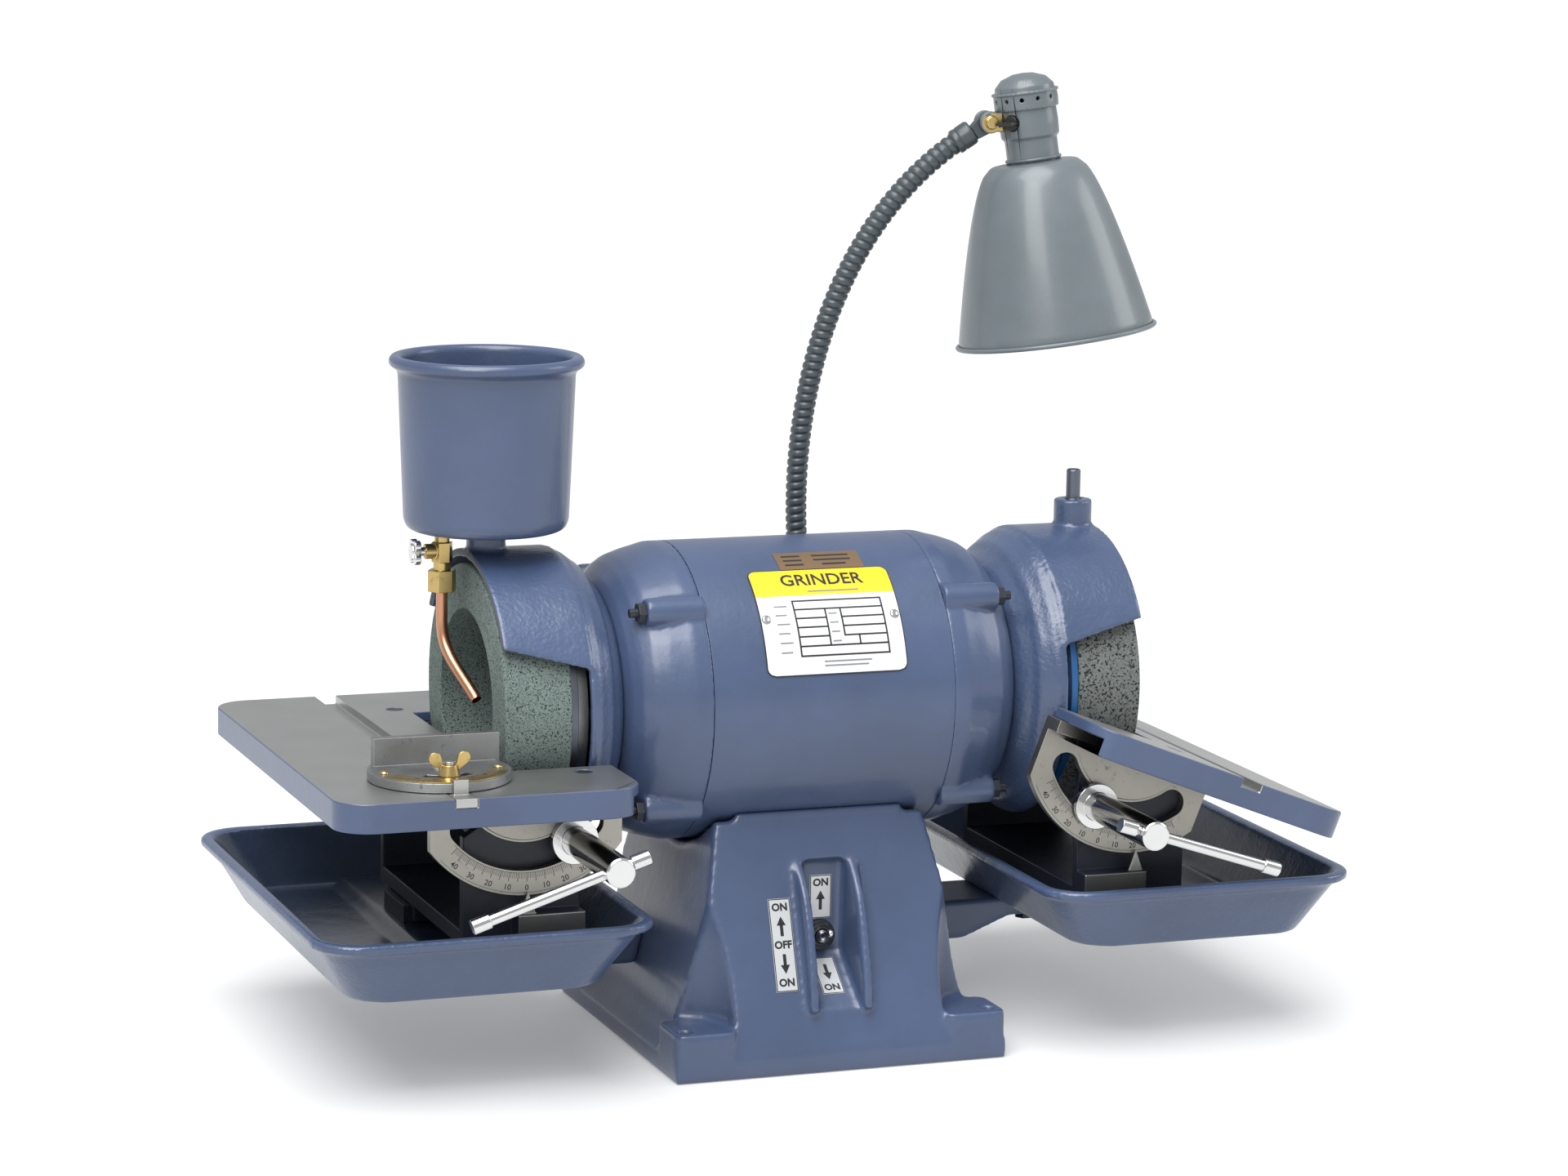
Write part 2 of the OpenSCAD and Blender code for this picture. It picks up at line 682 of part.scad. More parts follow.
module wheel_fasteners() {
  color([0.3, 0.3, 0.32]) both() {
    translate([0, 0, axis_z]) difference() {
      union() {
        xcyl(15, flange_x + flange_t, flange_x + flange_t + 2.5);
        translate([flange_x + flange_t + 2.5, 0, 0]) rotate([0, 90, 0]) hex(24, 10);
      }
      xcyl(thread_r, 140, 165);
    }
    for (a = [0:60:300]) translate([0, 60 * cos(a), axis_z + 60 * sin(a)]) {
      xcyl(2.5, flange_x, wheel_back_x - 0.3);
      xcyl(4.2, flange_x - 4, flange_x);
    }
  }
}

// ---------- tables ----------

module tilted(t) { translate(pivot) rotate([0, t, 0]) translate(-pivot) children(); }

module table_outline(inset) {
  r = table_corner - inset;
  difference() {
    rrect(table_x0 + inset, table_x1 - inset, -table_d / 2 + inset, table_d / 2 - inset, r);
    translate([table_x0 - 1, -cut_y - inset]) square([cut_x - table_x0 + 1 + inset, 2 * (cut_y + inset)]);
  }
}

module work_table() {
  difference() {
    union() {
      translate([0, 0, table_z - table_t]) linear_extrude(table_t) table_outline(0);
      translate([0, 0, table_z - skirt_h]) linear_extrude(skirt_h) difference() {
        rrect(table_x0, table_x1, -table_d / 2, table_d / 2, table_corner);
        rrect(table_x0 - 40, table_x1 - skirt_t, -table_d / 2 + skirt_t, table_d / 2 - skirt_t, table_corner - skirt_t);
      }
      translate([slot_x - slot_w / 2 - 6, -table_d / 2 + 1, table_z - table_t - slot_h - 0.5])
        cube([slot_w + 12, table_d - 2, slot_h + 1]);
    }
    translate([slot_x - slot_w / 2, -table_d, table_z - slot_h]) cube([slot_w, 2 * table_d, slot_h + 1]);
    table_screw_places() {
      zcyl(2.5, table_z - table_t - 1, table_z + 1);
      zcyl(4.7, table_z - 3, table_z + 1);
    }
  }
}

module left_table() { color([0.7, 0.7, 0.7]) side(-1) work_table(); }

module right_table() { color([0.7, 0.7, 0.7]) side(1) tilted(right_tilt) work_table(); }

module table_screw_places() { for (x = [150, 202], y = [-table_screw_y, table_screw_y]) translate([x, y, 0]) children(); }

// Ring sector below the pivot, in the XZ plane
module sector(r0, r1, half, y0, y1) {
  translate([pivot[0], y1, pivot[2]]) rotate([90, 0, 0]) rotate([0, 0, -90 - half])
    rotate_extrude(angle = 2 * half) translate([r0, 0]) square([r1 - r0, y1 - y0]);
}

module trunnion_plate() {
  y0 = -(trunnion_y + trunnion_t);
  under = table_z - table_t;
  difference() {
    union() {
      intersection() {
        translate([pivot[0], 0, pivot[2]]) ycyl(trunnion_r, y0, -trunnion_y);
        translate([pivot[0] - trunnion_w, y0 - 1, 60]) cube([2 * trunnion_w, trunnion_t + 2, under - 60]);
      }
      translate([pivot[0] - trunnion_w, -trunnion_y - flange_d, under - 7]) cube([2 * trunnion_w, flange_d, 7]);
      intersection() {
        translate([pivot[0], 0, pivot[2]]) ycyl(37, y0 - 1, y0);
        translate([pivot[0] - trunnion_w, y0 - 1, 60]) cube([2 * trunnion_w, 1, under - 60]);
      }
    }
    sector(arc_r0, arc_r1, arc_half, y0 - 2, -trunnion_y + 1);
    for (s = [-1, 1]) translate([pivot[0] + arc_mid * sin(s * arc_half), 0, pivot[2] - arc_mid * cos(arc_half)])
      ycyl((arc_r1 - arc_r0) / 2, y0 - 2, -trunnion_y + 1);
    translate([slot_x - slot_w / 2 - 6.3, -table_d / 2, under - slot_h - 0.8]) cube([slot_w + 12.6, table_d / 2, 10]);
  }
}

module table_trunnions() {
  trunnion_plate();
  mirror([0, 1, 0]) trunnion_plate();
  table_screw_places() {
    zcyl(2.5, table_z - table_t - 1, table_z - 3);
    zcyl(4.7, table_z - 3, table_z - 0.3);
  }
}

module left_trunnions() { color([0.75, 0.74, 0.7]) side(-1) table_trunnions(); }

module right_trunnions() { color([0.75, 0.74, 0.7]) side(1) tilted(right_tilt) table_trunnions(); }

module stud_place() {
  translate([pivot[0] - arc_mid * sin(clamp_angle), 0, pivot[2] - arc_mid * cos(clamp_angle)]) children();
}

// Space a table's underside and slot rib take, with room to move
module below_table() {
  rib_x = slot_x - slot_w / 2 - 6;
  under = table_z - table_t;
  prism_y([[pivot[0], under - 0.6], [rib_x - 0.6, under - 0.6], [rib_x - 0.6, under - slot_h - 1.1],
    [table_x1, under - slot_h - 1.1], [table_x1, table_z + 60], [pivot[0], table_z + 60]], -101, 101);
}

module bracket() {
  up_y = trunnion_y - body_gap;
  color([0.2, 0.22, 0.26]) difference() {
    union() {
      translate([bracket_x0, -up_y, saddle_z]) cube([bracket_x1 - bracket_x0, 2 * up_y, saddle_t]);
      for (s = [-1, 1]) difference() {
        translate([bracket_x0, s > 0 ? up_y - 6.5 : -up_y, saddle_z]) cube([bracket_x1 - bracket_x0, 6.5, 76]);
        translate([pivot[0], 0, pivot[2]]) ycyl(arc_r0 - 7, -101, 101);
        tilted(tilt_max) below_table();
      }
      for (y = [way_y - way_half - body_gap - gib_t, way_y + way_half + body_gap])
        translate([bracket_x0, y, way_z0 + 2]) cube([bracket_x1 - bracket_x0, gib_t, saddle_z - way_z0]);
      translate([bracket_x0, -up_y - 12, saddle_z]) cube([38, 12.5, 19]);
    }
    stud_place() ycyl(stud_hole + run_gap, -up_y - 2, -up_y + 8);
    stud_place() ycyl(stud_hole, up_y - 8, up_y + 2);
  }
  pointer_y = -(trunnion_y + trunnion_t + 1.2);
  color(steel) prism_y([[pivot[0] - 4.5, saddle_z + 19], [pivot[0] + 4.5, saddle_z + 19], [pivot[0], pivot[2] - trunnion_r + 3]],
    pointer_y - 2, pointer_y);
  color(steel) stud_place() {
    ycyl(stud_hole, up_y - 6, trunnion_y + trunnion_t + 9);
    translate([0, trunnion_y + trunnion_t + 1.4, 0]) rotate([-90, 0, 0]) hex(18, 8);
  }
}

module left_bracket() { side(-1) bracket(); }

module right_bracket() { side(1) bracket(); }

module clamp_hub() {
  color(bright) stud_place() difference() {
    rotate([90, 0, 0]) rotate_extrude() polygon([[0, trunnion_y - body_gap - 7], [stud_hole, trunnion_y - body_gap - 7],
      [stud_hole, -hub_y0], [13, -hub_y0], [13, -hub_y0 + 4], [hub_r, -hub_y0 + 4], [hub_r, -hub_y1 - 1],
      [hub_r - 1, -hub_y1], [0, -hub_y1]]);
    translate([0, cross_bar_y, 0]) rotate([0, 90 + bar_drop, 0]) translate([0, 0, -20])
      cylinder(r = cross_bar_r + run_gap, h = 40);
  }
}

module left_clamp_hub() { side(-1) clamp_hub(); }

module right_clamp_hub() { side(1) clamp_hub(); }

module clamp_bar() {
  color(bright) stud_place() translate([0, cross_bar_y, 0]) rotate([0, 90 + bar_drop, 0]) {
    zcyl(cross_bar_r, -bar_in, bar_out);
    zcyl(4.1, -bar_in - 5, -bar_in + 5);
    zcyl(4.1, bar_out - 5, bar_out + 5);
  }
}

module left_clamp_bar() { side(-1) clamp_bar(); }

module right_clamp_bar() { side(1) clamp_bar(); }

// ---------- trays ----------

module tray() {
  r = 24;
  floor_z = tray_bottom + tray_wall;
  color(enamel) difference() {
    union() {
      difference() {
        union() {
          hull() {
            translate([0, 0, tray_bottom]) linear_extrude(1)
              rrect(tray_x0 + tray_slant, tray_x1 - tray_slant + 3, tray_y0 + 16, tray_y1 - 16, r, $fn = 32);
            translate([0, 0, tray_top - 2]) linear_extrude(1) rrect(tray_x0, tray_x1, tray_y0, tray_y1, r, $fn = 32);
          }
          translate([0, 0, tray_top - 6]) linear_extrude(6)
            rrect(tray_x0 - 3, tray_x1 + 3, tray_y0 - 3, tray_y1 + 3, r + 3, $fn = 32);
        }
        hull() {
          translate([0, 0, floor_z]) linear_extrude(1) rrect(tray_x0 + tray_slant + tray_wall,
            tray_x1 - tray_slant + 3 - tray_wall, tray_y0 + 16 + tray_wall, tray_y1 - 16 - tray_wall, r - 3, $fn = 32);
          translate([0, 0, tray_top]) linear_extrude(1) rrect(tray_x0 + tray_wall, tray_x1 - tray_wall,
            tray_y0 + tray_wall, tray_y1 - tray_wall, r - 3, $fn = 32);
        }
      }
      prism_y([[tray_x0 + tray_slant + 2, tray_bottom + 1], [tray_pad_x1 + 6, tray_bottom + 1],
        [tray_pad_x1 + 6, floor_z], [tray_pad_x1, way_z0], [tray_x0 + tray_slant + 2, way_z0]],
        tray_y0 + 24, tray_y1 - 24);
    }
    tray_bolt_places() zcyl(tray_bolt_r, tray_bottom - 1, way_z0 + 1);
  }
}

module tray_bolt_places() { for (x = [165, 200], y = [way_y - 12, way_y + 12]) translate([x, y, 0]) children(); }

module left_tray() { side(-1) tray(); }

module right_tray() { side(1) tray(); }

module tray_arms() {
  color(enamel) both() difference() {
    prism_y([[half_w(tray_bottom), tray_bottom], [215, tray_bottom], [215, arm_seat], [150, arm_seat], [120, arm_low],
      [half_w(42) + 2.1, arm_low], [half_w(42) + 0.5, 42], [half_w(55), 55]], arm_y0, arm_y1);
    tray_bolt_places() zcyl(tray_bolt_r, arm_low, tray_bottom + 1);
    for (y = [arm_y0 + 14, arm_y1 - 14]) translate([0, y, 50]) xcyl(3, 70, 100);
  }
}

module tray_bolts() {
  color([0.25, 0.25, 0.28]) both() {
    tray_bolt_places() {
      zcyl(tray_bolt_r, arm_seat - nut_h, way_z1 - 3.2);
      translate([0, 0, way_z1 - 3.3]) cylinder(r = 5.5, h = 3);
      translate([0, 0, arm_seat - nut_h]) hex(10, nut_h);
    }
    for (y = [arm_y0 + 14, arm_y1 - 14]) translate([0, y, 50]) {
      xcyl(3, half_w(50) - base_wall - 3, 98);
      translate([half_w(50) - base_wall - 6.8, 0, 0]) rotate([0, 90, 0]) hex(10, 5);
    }
  }
}

module slide_ways() {
  color([0.35, 0.35, 0.38]) both() difference() {
    translate([bracket_x0 - 2, way_y - way_half, way_z0]) cube([bracket_x1 - bracket_x0 + 6, 2 * way_half, way_z1 - way_z0]);
    tray_bolt_places() {
      zcyl(tray_bolt_r, way_z0 - 1, way_z1 + 1);
      zcyl(5.7, way_z1 - 3.3, way_z1 + 1);
    }
  }
}

// ---------- mitre gauge ----------

module gauge_bar() {
  top = table_z + body_gap;
  color(steel) {
    difference() {
      translate([-slot_x - slot_w / 2 + 0.1, -table_d / 2, table_z - slot_h + 0.1])
        cube([slot_w - 0.2, 160, slot_h - 0.1]);
      translate([-slot_x, gauge_y, 0]) zcyl(3.9, table_z - 3, table_z + 1);
      translate([-slot_x, gauge_y - 19, 0]) zcyl(2.4, table_z - 3, table_z + 1);
    }
    translate([-slot_x, gauge_y, 0]) zcyl(3.9, table_z - 3, top + gauge_t + 1);
    translate([-slot_x, gauge_y - 19, 0]) zcyl(2.4, table_z - 3, top + gauge_t + 8);
    translate([-slot_x - 4, gauge_y - gauge_r - 3.5, table_z - 0.1]) cube([8, 3, gauge_t + 3]);
  }
}

module gauge_head() {
  z0 = table_z + body_gap;
  color(steel) difference() {
    union() {
      translate([-slot_x, gauge_y, 0]) intersection() {
        zcyl(gauge_r, z0, z0 + gauge_t);
        translate([-50, -50, 0]) cube([100, 50 + fence_y - gauge_y, 300]);
      }
      translate([fence_x0, fence_y - 6, z0]) cube([fence_x1 - fence_x0, 6, fence_h]);
    }
    translate([-slot_x, gauge_y, 0]) {
      zcyl(3.9 + run_gap, z0 - 1, z0 + gauge_t + 1);
      translate([0, 0, z0 - 1]) rotate([0, 0, 230]) rotate_extrude(angle = 80) translate([16, 0]) square([6, gauge_t + 2]);
    }
  }
}

module gauge_wing_nut() {
  z0 = table_z + body_gap + gauge_t + 0.3;
  color(brass) translate([-slot_x, gauge_y - 19, z0]) difference() {
    union() {
      cylinder(r1 = 6, r2 = 4.5, h = 6);
      for (s = [-1, 1]) hull() {
        translate([s * 4 - 0.5, -1.2, 2.5]) cube([1, 2.4, 3]);
        translate([s * 8, 1.2, 9.5]) rotate([90, 0, 0]) cylinder(r = 3.4, h = 2.4, $fn = 32);
      }
    }
    zcyl(2.4 + run_gap, -1, 20);
  }
}

// ---------- water pot ----------

module water_pot() {
  r = pot_d / 2;
  rb = r - 3.3;
  h = pot_h;
  hub_h = pin_top - pot_z + 5;
  color(enamel) translate([-boss_x, 0, pot_z]) difference() {
    rotate_extrude() polygon([[0, 0], [rb - 6, 0], [rb - 2, 1.7], [rb, 6], [r, h - 8], [r + 2, h - 6.5], [r + 4.5, h - 5.5],
      [r + 5, h - 2.5], [r + 3, h], [r - 0.5, h], [r - pot_wall + 0.4, h - 2], [r - pot_wall, h - 8], [rb - pot_wall, 9],
      [rb - pot_wall - 3, 4.5], [rb - 9, 3.5], [16, 3.5], [15, 5], [14.5, hub_h - 1], [13.5, hub_h], [0, hub_h]]);
    zcyl(pot_boss_r + 0.3, -1, boss_top - pot_z + 0.2);
    zcyl(pin_d / 2 + run_gap, -1, pin_top - pot_z + 0.6);
    translate([valve_x + boss_x, 0, 0]) zcyl(3.5, -1, 5);
  }
}

module coolant_valve() {
  color(brass) translate([valve_x, 0, pot_z]) difference() {
    union() {
      zcyl(3.5, -1, 5);
      zcyl(4.2, -7, 0);
      translate([0, 0, -17]) hex(10.5, 11);
      zcyl(4.8, -22, -16.5);
      translate([0, 0, -33.5]) hex(14, 12);
      translate([0, 0, -11]) rotate([0, -90, 0]) cylinder(r = 4.2, h = 10);
    }
    zcyl(1.8, -40, 6);
    zcyl(tube_r, -34, -24);
    translate([0, 0, -11]) rotate([0, -90, 0]) translate([0, 0, 4]) cylinder(r = 2.5 + run_gap, h = 10);
  }
}

tube_path = [[valve_x, 0, pot_z - 48], [valve_x, 0, pot_z - 68], [valve_x + 4, -12, pot_z - 72], [-191, -31, 206]];

module copper_tube() {
  color([0.78, 0.5, 0.35]) difference() {
    union() {
      translate([valve_x, 0, 0]) zcyl(tube_r, pot_z - 48.5, pot_z - 24);
      bez_bar(tube_path, 0, 1, [1, 0, 0], tube_r, 18, 16);
    }
    translate([valve_x, 0, 0]) zcyl(tube_bore, pot_z - 48.6, pot_z - 20);
    bez_bar(tube_path, -0.004, 1.02, [1, 0, 0], tube_bore, 18, 12);
  }
}

module valve_handle() {
  color(bright) translate([valve_x, 0, pot_z - 11]) rotate([0, -90, 0]) {
    zcyl(2.5, 4.5, 14);
    zcyl(4.5, 13, 18);
    for (a = [45:90:315]) rotate(a) translate([5, 0, 13.5]) cylinder(r = 3.2, h = 3.5);
  }
}

// ---------- lamp ----------

module lamp_bracket() {
  color(enamel) difference() {
    union() {
      translate([neck_x - 17, 70, neck_socket_z - 8]) cube([34, 20, 34]);
      translate([neck_x, neck_y, 0]) zcyl(10.5, neck_socket_z - 8, neck_socket_z + 34);
    }
    translate([0, 0, axis_z]) xcyl(motor_r, -10, 90);
    translate([neck_x, neck_y, 0]) zcyl(neck_d / 2 + run_gap, neck_socket_z, neck_socket_z + 40);
    translate([neck_x, neck_y, 0]) zcyl(4, neck_socket_z - 10, neck_socket_z + 1);
  }
}

neck_path = [[neck_x, neck_y, 270], [36, 93, 365], [60, 73, 462], [131, 52.5, 508]];
neck_side = [0.431, 0.902, 0];
flex_c = bez(neck_path, flex_at);
flex_dir = bez_dir(neck_path, flex_at);
flex_dt = flex_gap / norm(bez(neck_path, flex_at + 0.005) - bez(neck_path, flex_at - 0.005)) * 0.01;

module gooseneck_lower() {
  color(lamp_grey) {
    translate([neck_x, neck_y, 0]) zcyl(neck_d / 2, neck_socket_z + 0.3, 270);
    bez_bar(neck_path, 0, flex_at - flex_dt, neck_side, neck_d / 2, 20, 24);
    along(flex_c, flex_dir) zcyl(2.6, -flex_gap - 1, 0);
    translate(flex_c) sphere(r = 4);
  }
}

module gooseneck_upper() {
  end_dir = bez_dir(neck_path, 1);
  color(lamp_grey) {
    difference() {
      bez_bar(neck_path, flex_at + flex_dt, 0.97, neck_side, neck_d / 2, 20, 24);
      translate(flex_c) sphere(r = 4.1);
    }
    difference() {
      union() {
        difference() {
          along(bez(neck_path, 0.97), bez_dir(neck_path, 0.97)) zcyl(7.2, 0, 8);
          translate(lamp_joint) ycyl(7.4, -9, 9);
        }
        translate(lamp_joint) ycyl(6.2, -2.5, 2.5);
        translate(lamp_joint) rotate([0, atan2(end_dir[0], end_dir[2]), 0]) translate([-4, -2.5, -13]) cube([8, 5, 12]);
      }
      translate(lamp_joint) ycyl(2 + run_gap, -10, 10);
    }
  }
}

module on_lamp() { translate(lamp_seat) rotate(lamp_turn) children(); }

module lamp_socket() {
  color(lamp_grey) {
    difference() {
      union() {
        on_lamp() rotate_extrude() polygon([[0, 0.2], [15.8, 0.2], [15.3, 2], [15.3, 13], [17, 15], [17.3, 22], [17, 31],
          [18.7, 31.5], [18.7, 40], [17.6, 41], [17.2, 44], [13, 48.5], [6, 51], [0, 51.5]]);
        translate(lamp_joint) difference() {
          union() {
            xcyl(6.2, 8, 14);
            ycyl(6.4, -6, 6);
            translate([0, -6, -5.5]) cube([10, 12, 11]);
          }
          translate([-8, -2.8, -10]) cube([16, 5.6, 20]);
        }
      }
      translate(lamp_joint) ycyl(2, -10, 10);
      on_lamp() zcyl(13.4, -1, 30);
      on_lamp() translate([0, 0, 24]) rotate([0, 0, key_angle]) xcyl(4.6, 10, 20);
      on_lamp() for (a = [0:30:330]) rotate(a) translate([0, 0, 36.5]) xcyl(1.2, 15, 20);
      on_lamp() zcyl(15.5, 33, 40);
    }
  }
  color(brass) translate(lamp_joint) {
    ycyl(2, -7.5, 7.5);
    ycyl(3.6, -8, -6);
    ycyl(3.6, 6, 8);
  }
}

module lamp_key() {
  color([0.06, 0.06, 0.06]) on_lamp() translate([0, 0, 24]) rotate([0, 0, key_angle]) {
    xcyl(4.5, 14, 18.5);
    translate([18.4, -4.5, -1.2]) cube([6.5, 9, 2.4]);
  }
}

function shade_r(s) = shade_top_r + (shade_d / 2 - shade_top_r - 1.2) * pow(s, shade_bulge);

module lamp_shade() {
  n = 12;
  outer = [for (i = [0:n]) [shade_r(i / n), -3 - (shade_h - 4) * i / n]];
  inner = [for (i = [n:-1:0]) [shade_r(i / n) - shade_wall, -3 - (shade_h - 4) * i / n]];
  color(lamp_grey) on_lamp() rotate_extrude() polygon(concat([[15.9, 0], [25, -0.6]], outer,
    [[shade_d / 2, -shade_h + 1], [shade_d / 2, -shade_h - 0.8], [shade_d / 2 - 2.2, -shade_h - 0.8]], inner,
    [[24.5, -1.8], [15.9, -1.2]]));
}

module lamp_bulb() {
  glass = [[12.8, 25], [12.8, 0], [14, -8], [18, -20], [25, -34], [29, -46], [30, -56], [28, -67], [22, -78],
    [14, -84], [6, -86.5], [0, -87]];
  color([0.95, 0.95, 0.9]) on_lamp() rotate_extrude() polygon(concat(glass,
    [[0, -86], [5.5, -85.5], [13.4, -83], [21.2, -77.2], [27, -66.6], [29, -56], [28, -46.2], [24.1, -34.4], [17, -20.3],
    [13, -8.2], [11.8, 0], [11.8, 25]]));
}

// ---------- output ----------

base_pedestal();
base_cover();
base_fasteners();
capacitor();
power_gland();
motor_shell();
left_end_bell();
right_end_bell();
end_bell_studs();
stator_core();
stator_windings();
bearing_outers();
left_hood();
right_hood();
hood_screws();
nameplate();
rating_sticker();
switch_body();
switch_collar();
switch_plates();
left_tray();
right_tray();
tray_arms();
tray_bolts();
slide_ways();
lamp_bracket();
hood_pins();
shaft();
rotor_core();
cooling_fan();
bearing_inners();
wheel_flanges();
left_wheel();
right_wheel();
wheel_backings();
wheel_fasteners();
toggle_lever();
left_bracket();
left_table();
left_trunnions();
left_clamp_hub();
left_clamp_bar();
right_bracket();
right_table();
right_trunnions();
right_clamp_hub();
right_clamp_bar();
gauge_bar();
gauge_head();
gauge_wing_nut();
water_pot();
coolant_valve();
copper_tube();
valve_handle();
gooseneck_lower();
gooseneck_upper();
lamp_socket();
lamp_shade();
lamp_bulb();
lamp_key();
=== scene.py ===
"""Looks of the two-wheel tool grinder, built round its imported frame. Lengths in the classes are millimetres."""

import json
import logging
import math
from dataclasses import dataclass
from enum import Enum
from typing import Callable, Iterable, Sequence, Union

import bmesh
import bpy
import numpy as np
from mathutils import Matrix, Vector


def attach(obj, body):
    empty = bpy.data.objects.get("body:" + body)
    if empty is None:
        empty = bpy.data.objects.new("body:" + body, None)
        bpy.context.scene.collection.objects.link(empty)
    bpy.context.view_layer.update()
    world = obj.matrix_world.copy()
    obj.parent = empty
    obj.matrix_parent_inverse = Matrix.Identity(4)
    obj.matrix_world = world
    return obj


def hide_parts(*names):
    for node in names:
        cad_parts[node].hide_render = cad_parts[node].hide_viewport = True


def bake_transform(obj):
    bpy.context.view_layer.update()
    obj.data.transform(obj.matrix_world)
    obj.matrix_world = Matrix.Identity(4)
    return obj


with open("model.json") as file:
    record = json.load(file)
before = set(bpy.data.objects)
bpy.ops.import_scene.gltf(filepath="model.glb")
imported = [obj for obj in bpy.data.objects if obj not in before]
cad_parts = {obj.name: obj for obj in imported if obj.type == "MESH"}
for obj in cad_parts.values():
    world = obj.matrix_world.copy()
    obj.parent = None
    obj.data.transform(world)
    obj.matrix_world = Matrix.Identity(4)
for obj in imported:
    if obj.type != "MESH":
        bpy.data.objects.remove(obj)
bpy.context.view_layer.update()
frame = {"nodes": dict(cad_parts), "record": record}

LOG = logging.getLogger("grinder")
MM = 0.001
BODY_OF = {n: b for b, members in frame["record"]["behaviour"]["bodies"].items() for n in members}
SLOT_OF = {row["node"]: row["material_slot"] for row in frame["record"]["subparts"]}

Colour = tuple[float, float, float]
Number = Union["Value", float]


# ---------- shader arithmetic ----------


class Value:
    """One output of a shader node; numbers take the usual operators."""

    def __init__(self, recipe: "Recipe", socket: bpy.types.NodeSocket) -> None:
        """Keeps the socket and the recipe it belongs to."""
        self.recipe = recipe
        self.socket = socket

    def _math(self, operation: str, *terms: Number, clamp: bool = False) -> "Value":
        """Adds a Math node on the terms and returns its result."""
        settings = {"operation": operation, "use_clamp": clamp}
        return self.recipe.node("ShaderNodeMath", settings, dict(enumerate(terms)))[0]

    def __add__(self, other: Number) -> "Value":
        """Sum."""
        return self._math("ADD", self, other)

    __radd__ = __add__

    def __mul__(self, other: Number) -> "Value":
        """Product."""
        return self._math("MULTIPLY", self, other)

    __rmul__ = __mul__

    def __sub__(self, other: Number) -> "Value":
        """Difference."""
        return self._math("SUBTRACT", self, other)

    def __rsub__(self, other: Number) -> "Value":
        """Difference the other way round."""
        return self._math("SUBTRACT", other, self)

    def __truediv__(self, other: Number) -> "Value":
        """Quotient."""
        return self._math("DIVIDE", self, other)

    def __pow__(self, other: Number) -> "Value":
        """Power."""
        return self._math("POWER", self, other)

    def band(self, low: float, high: float) -> "Value":
        """Rises from 0 to 1 as the value goes from low to high, smoothly.

        Args:
            low: Where the rise starts; above high it falls instead.
            high: Where the rise ends.

        Returns:
            A value from 0 to 1.
        """
        settings = {"interpolation_type": "SMOOTHSTEP"}
        inputs = {0: self, 1: min(low, high), 2: max(low, high)}
        rise = self.recipe.node("ShaderNodeMapRange", settings, inputs)[0]
        return rise if low < high else 1 - rise

    def most(self, other: Number) -> "Value":
        """The larger of the two."""
        return self._math("MAXIMUM", self, other)


class Made:
    """A node that was just added, read by its outputs."""

    def __init__(self, recipe: "Recipe", node: bpy.types.Node) -> None:
        """Keeps the node."""
        self.recipe = recipe
        self.node = node

    def __getitem__(self, key: Union[int, str]) -> Value:
        """The output with that name or number."""
        return Value(self.recipe, self.node.outputs[key])


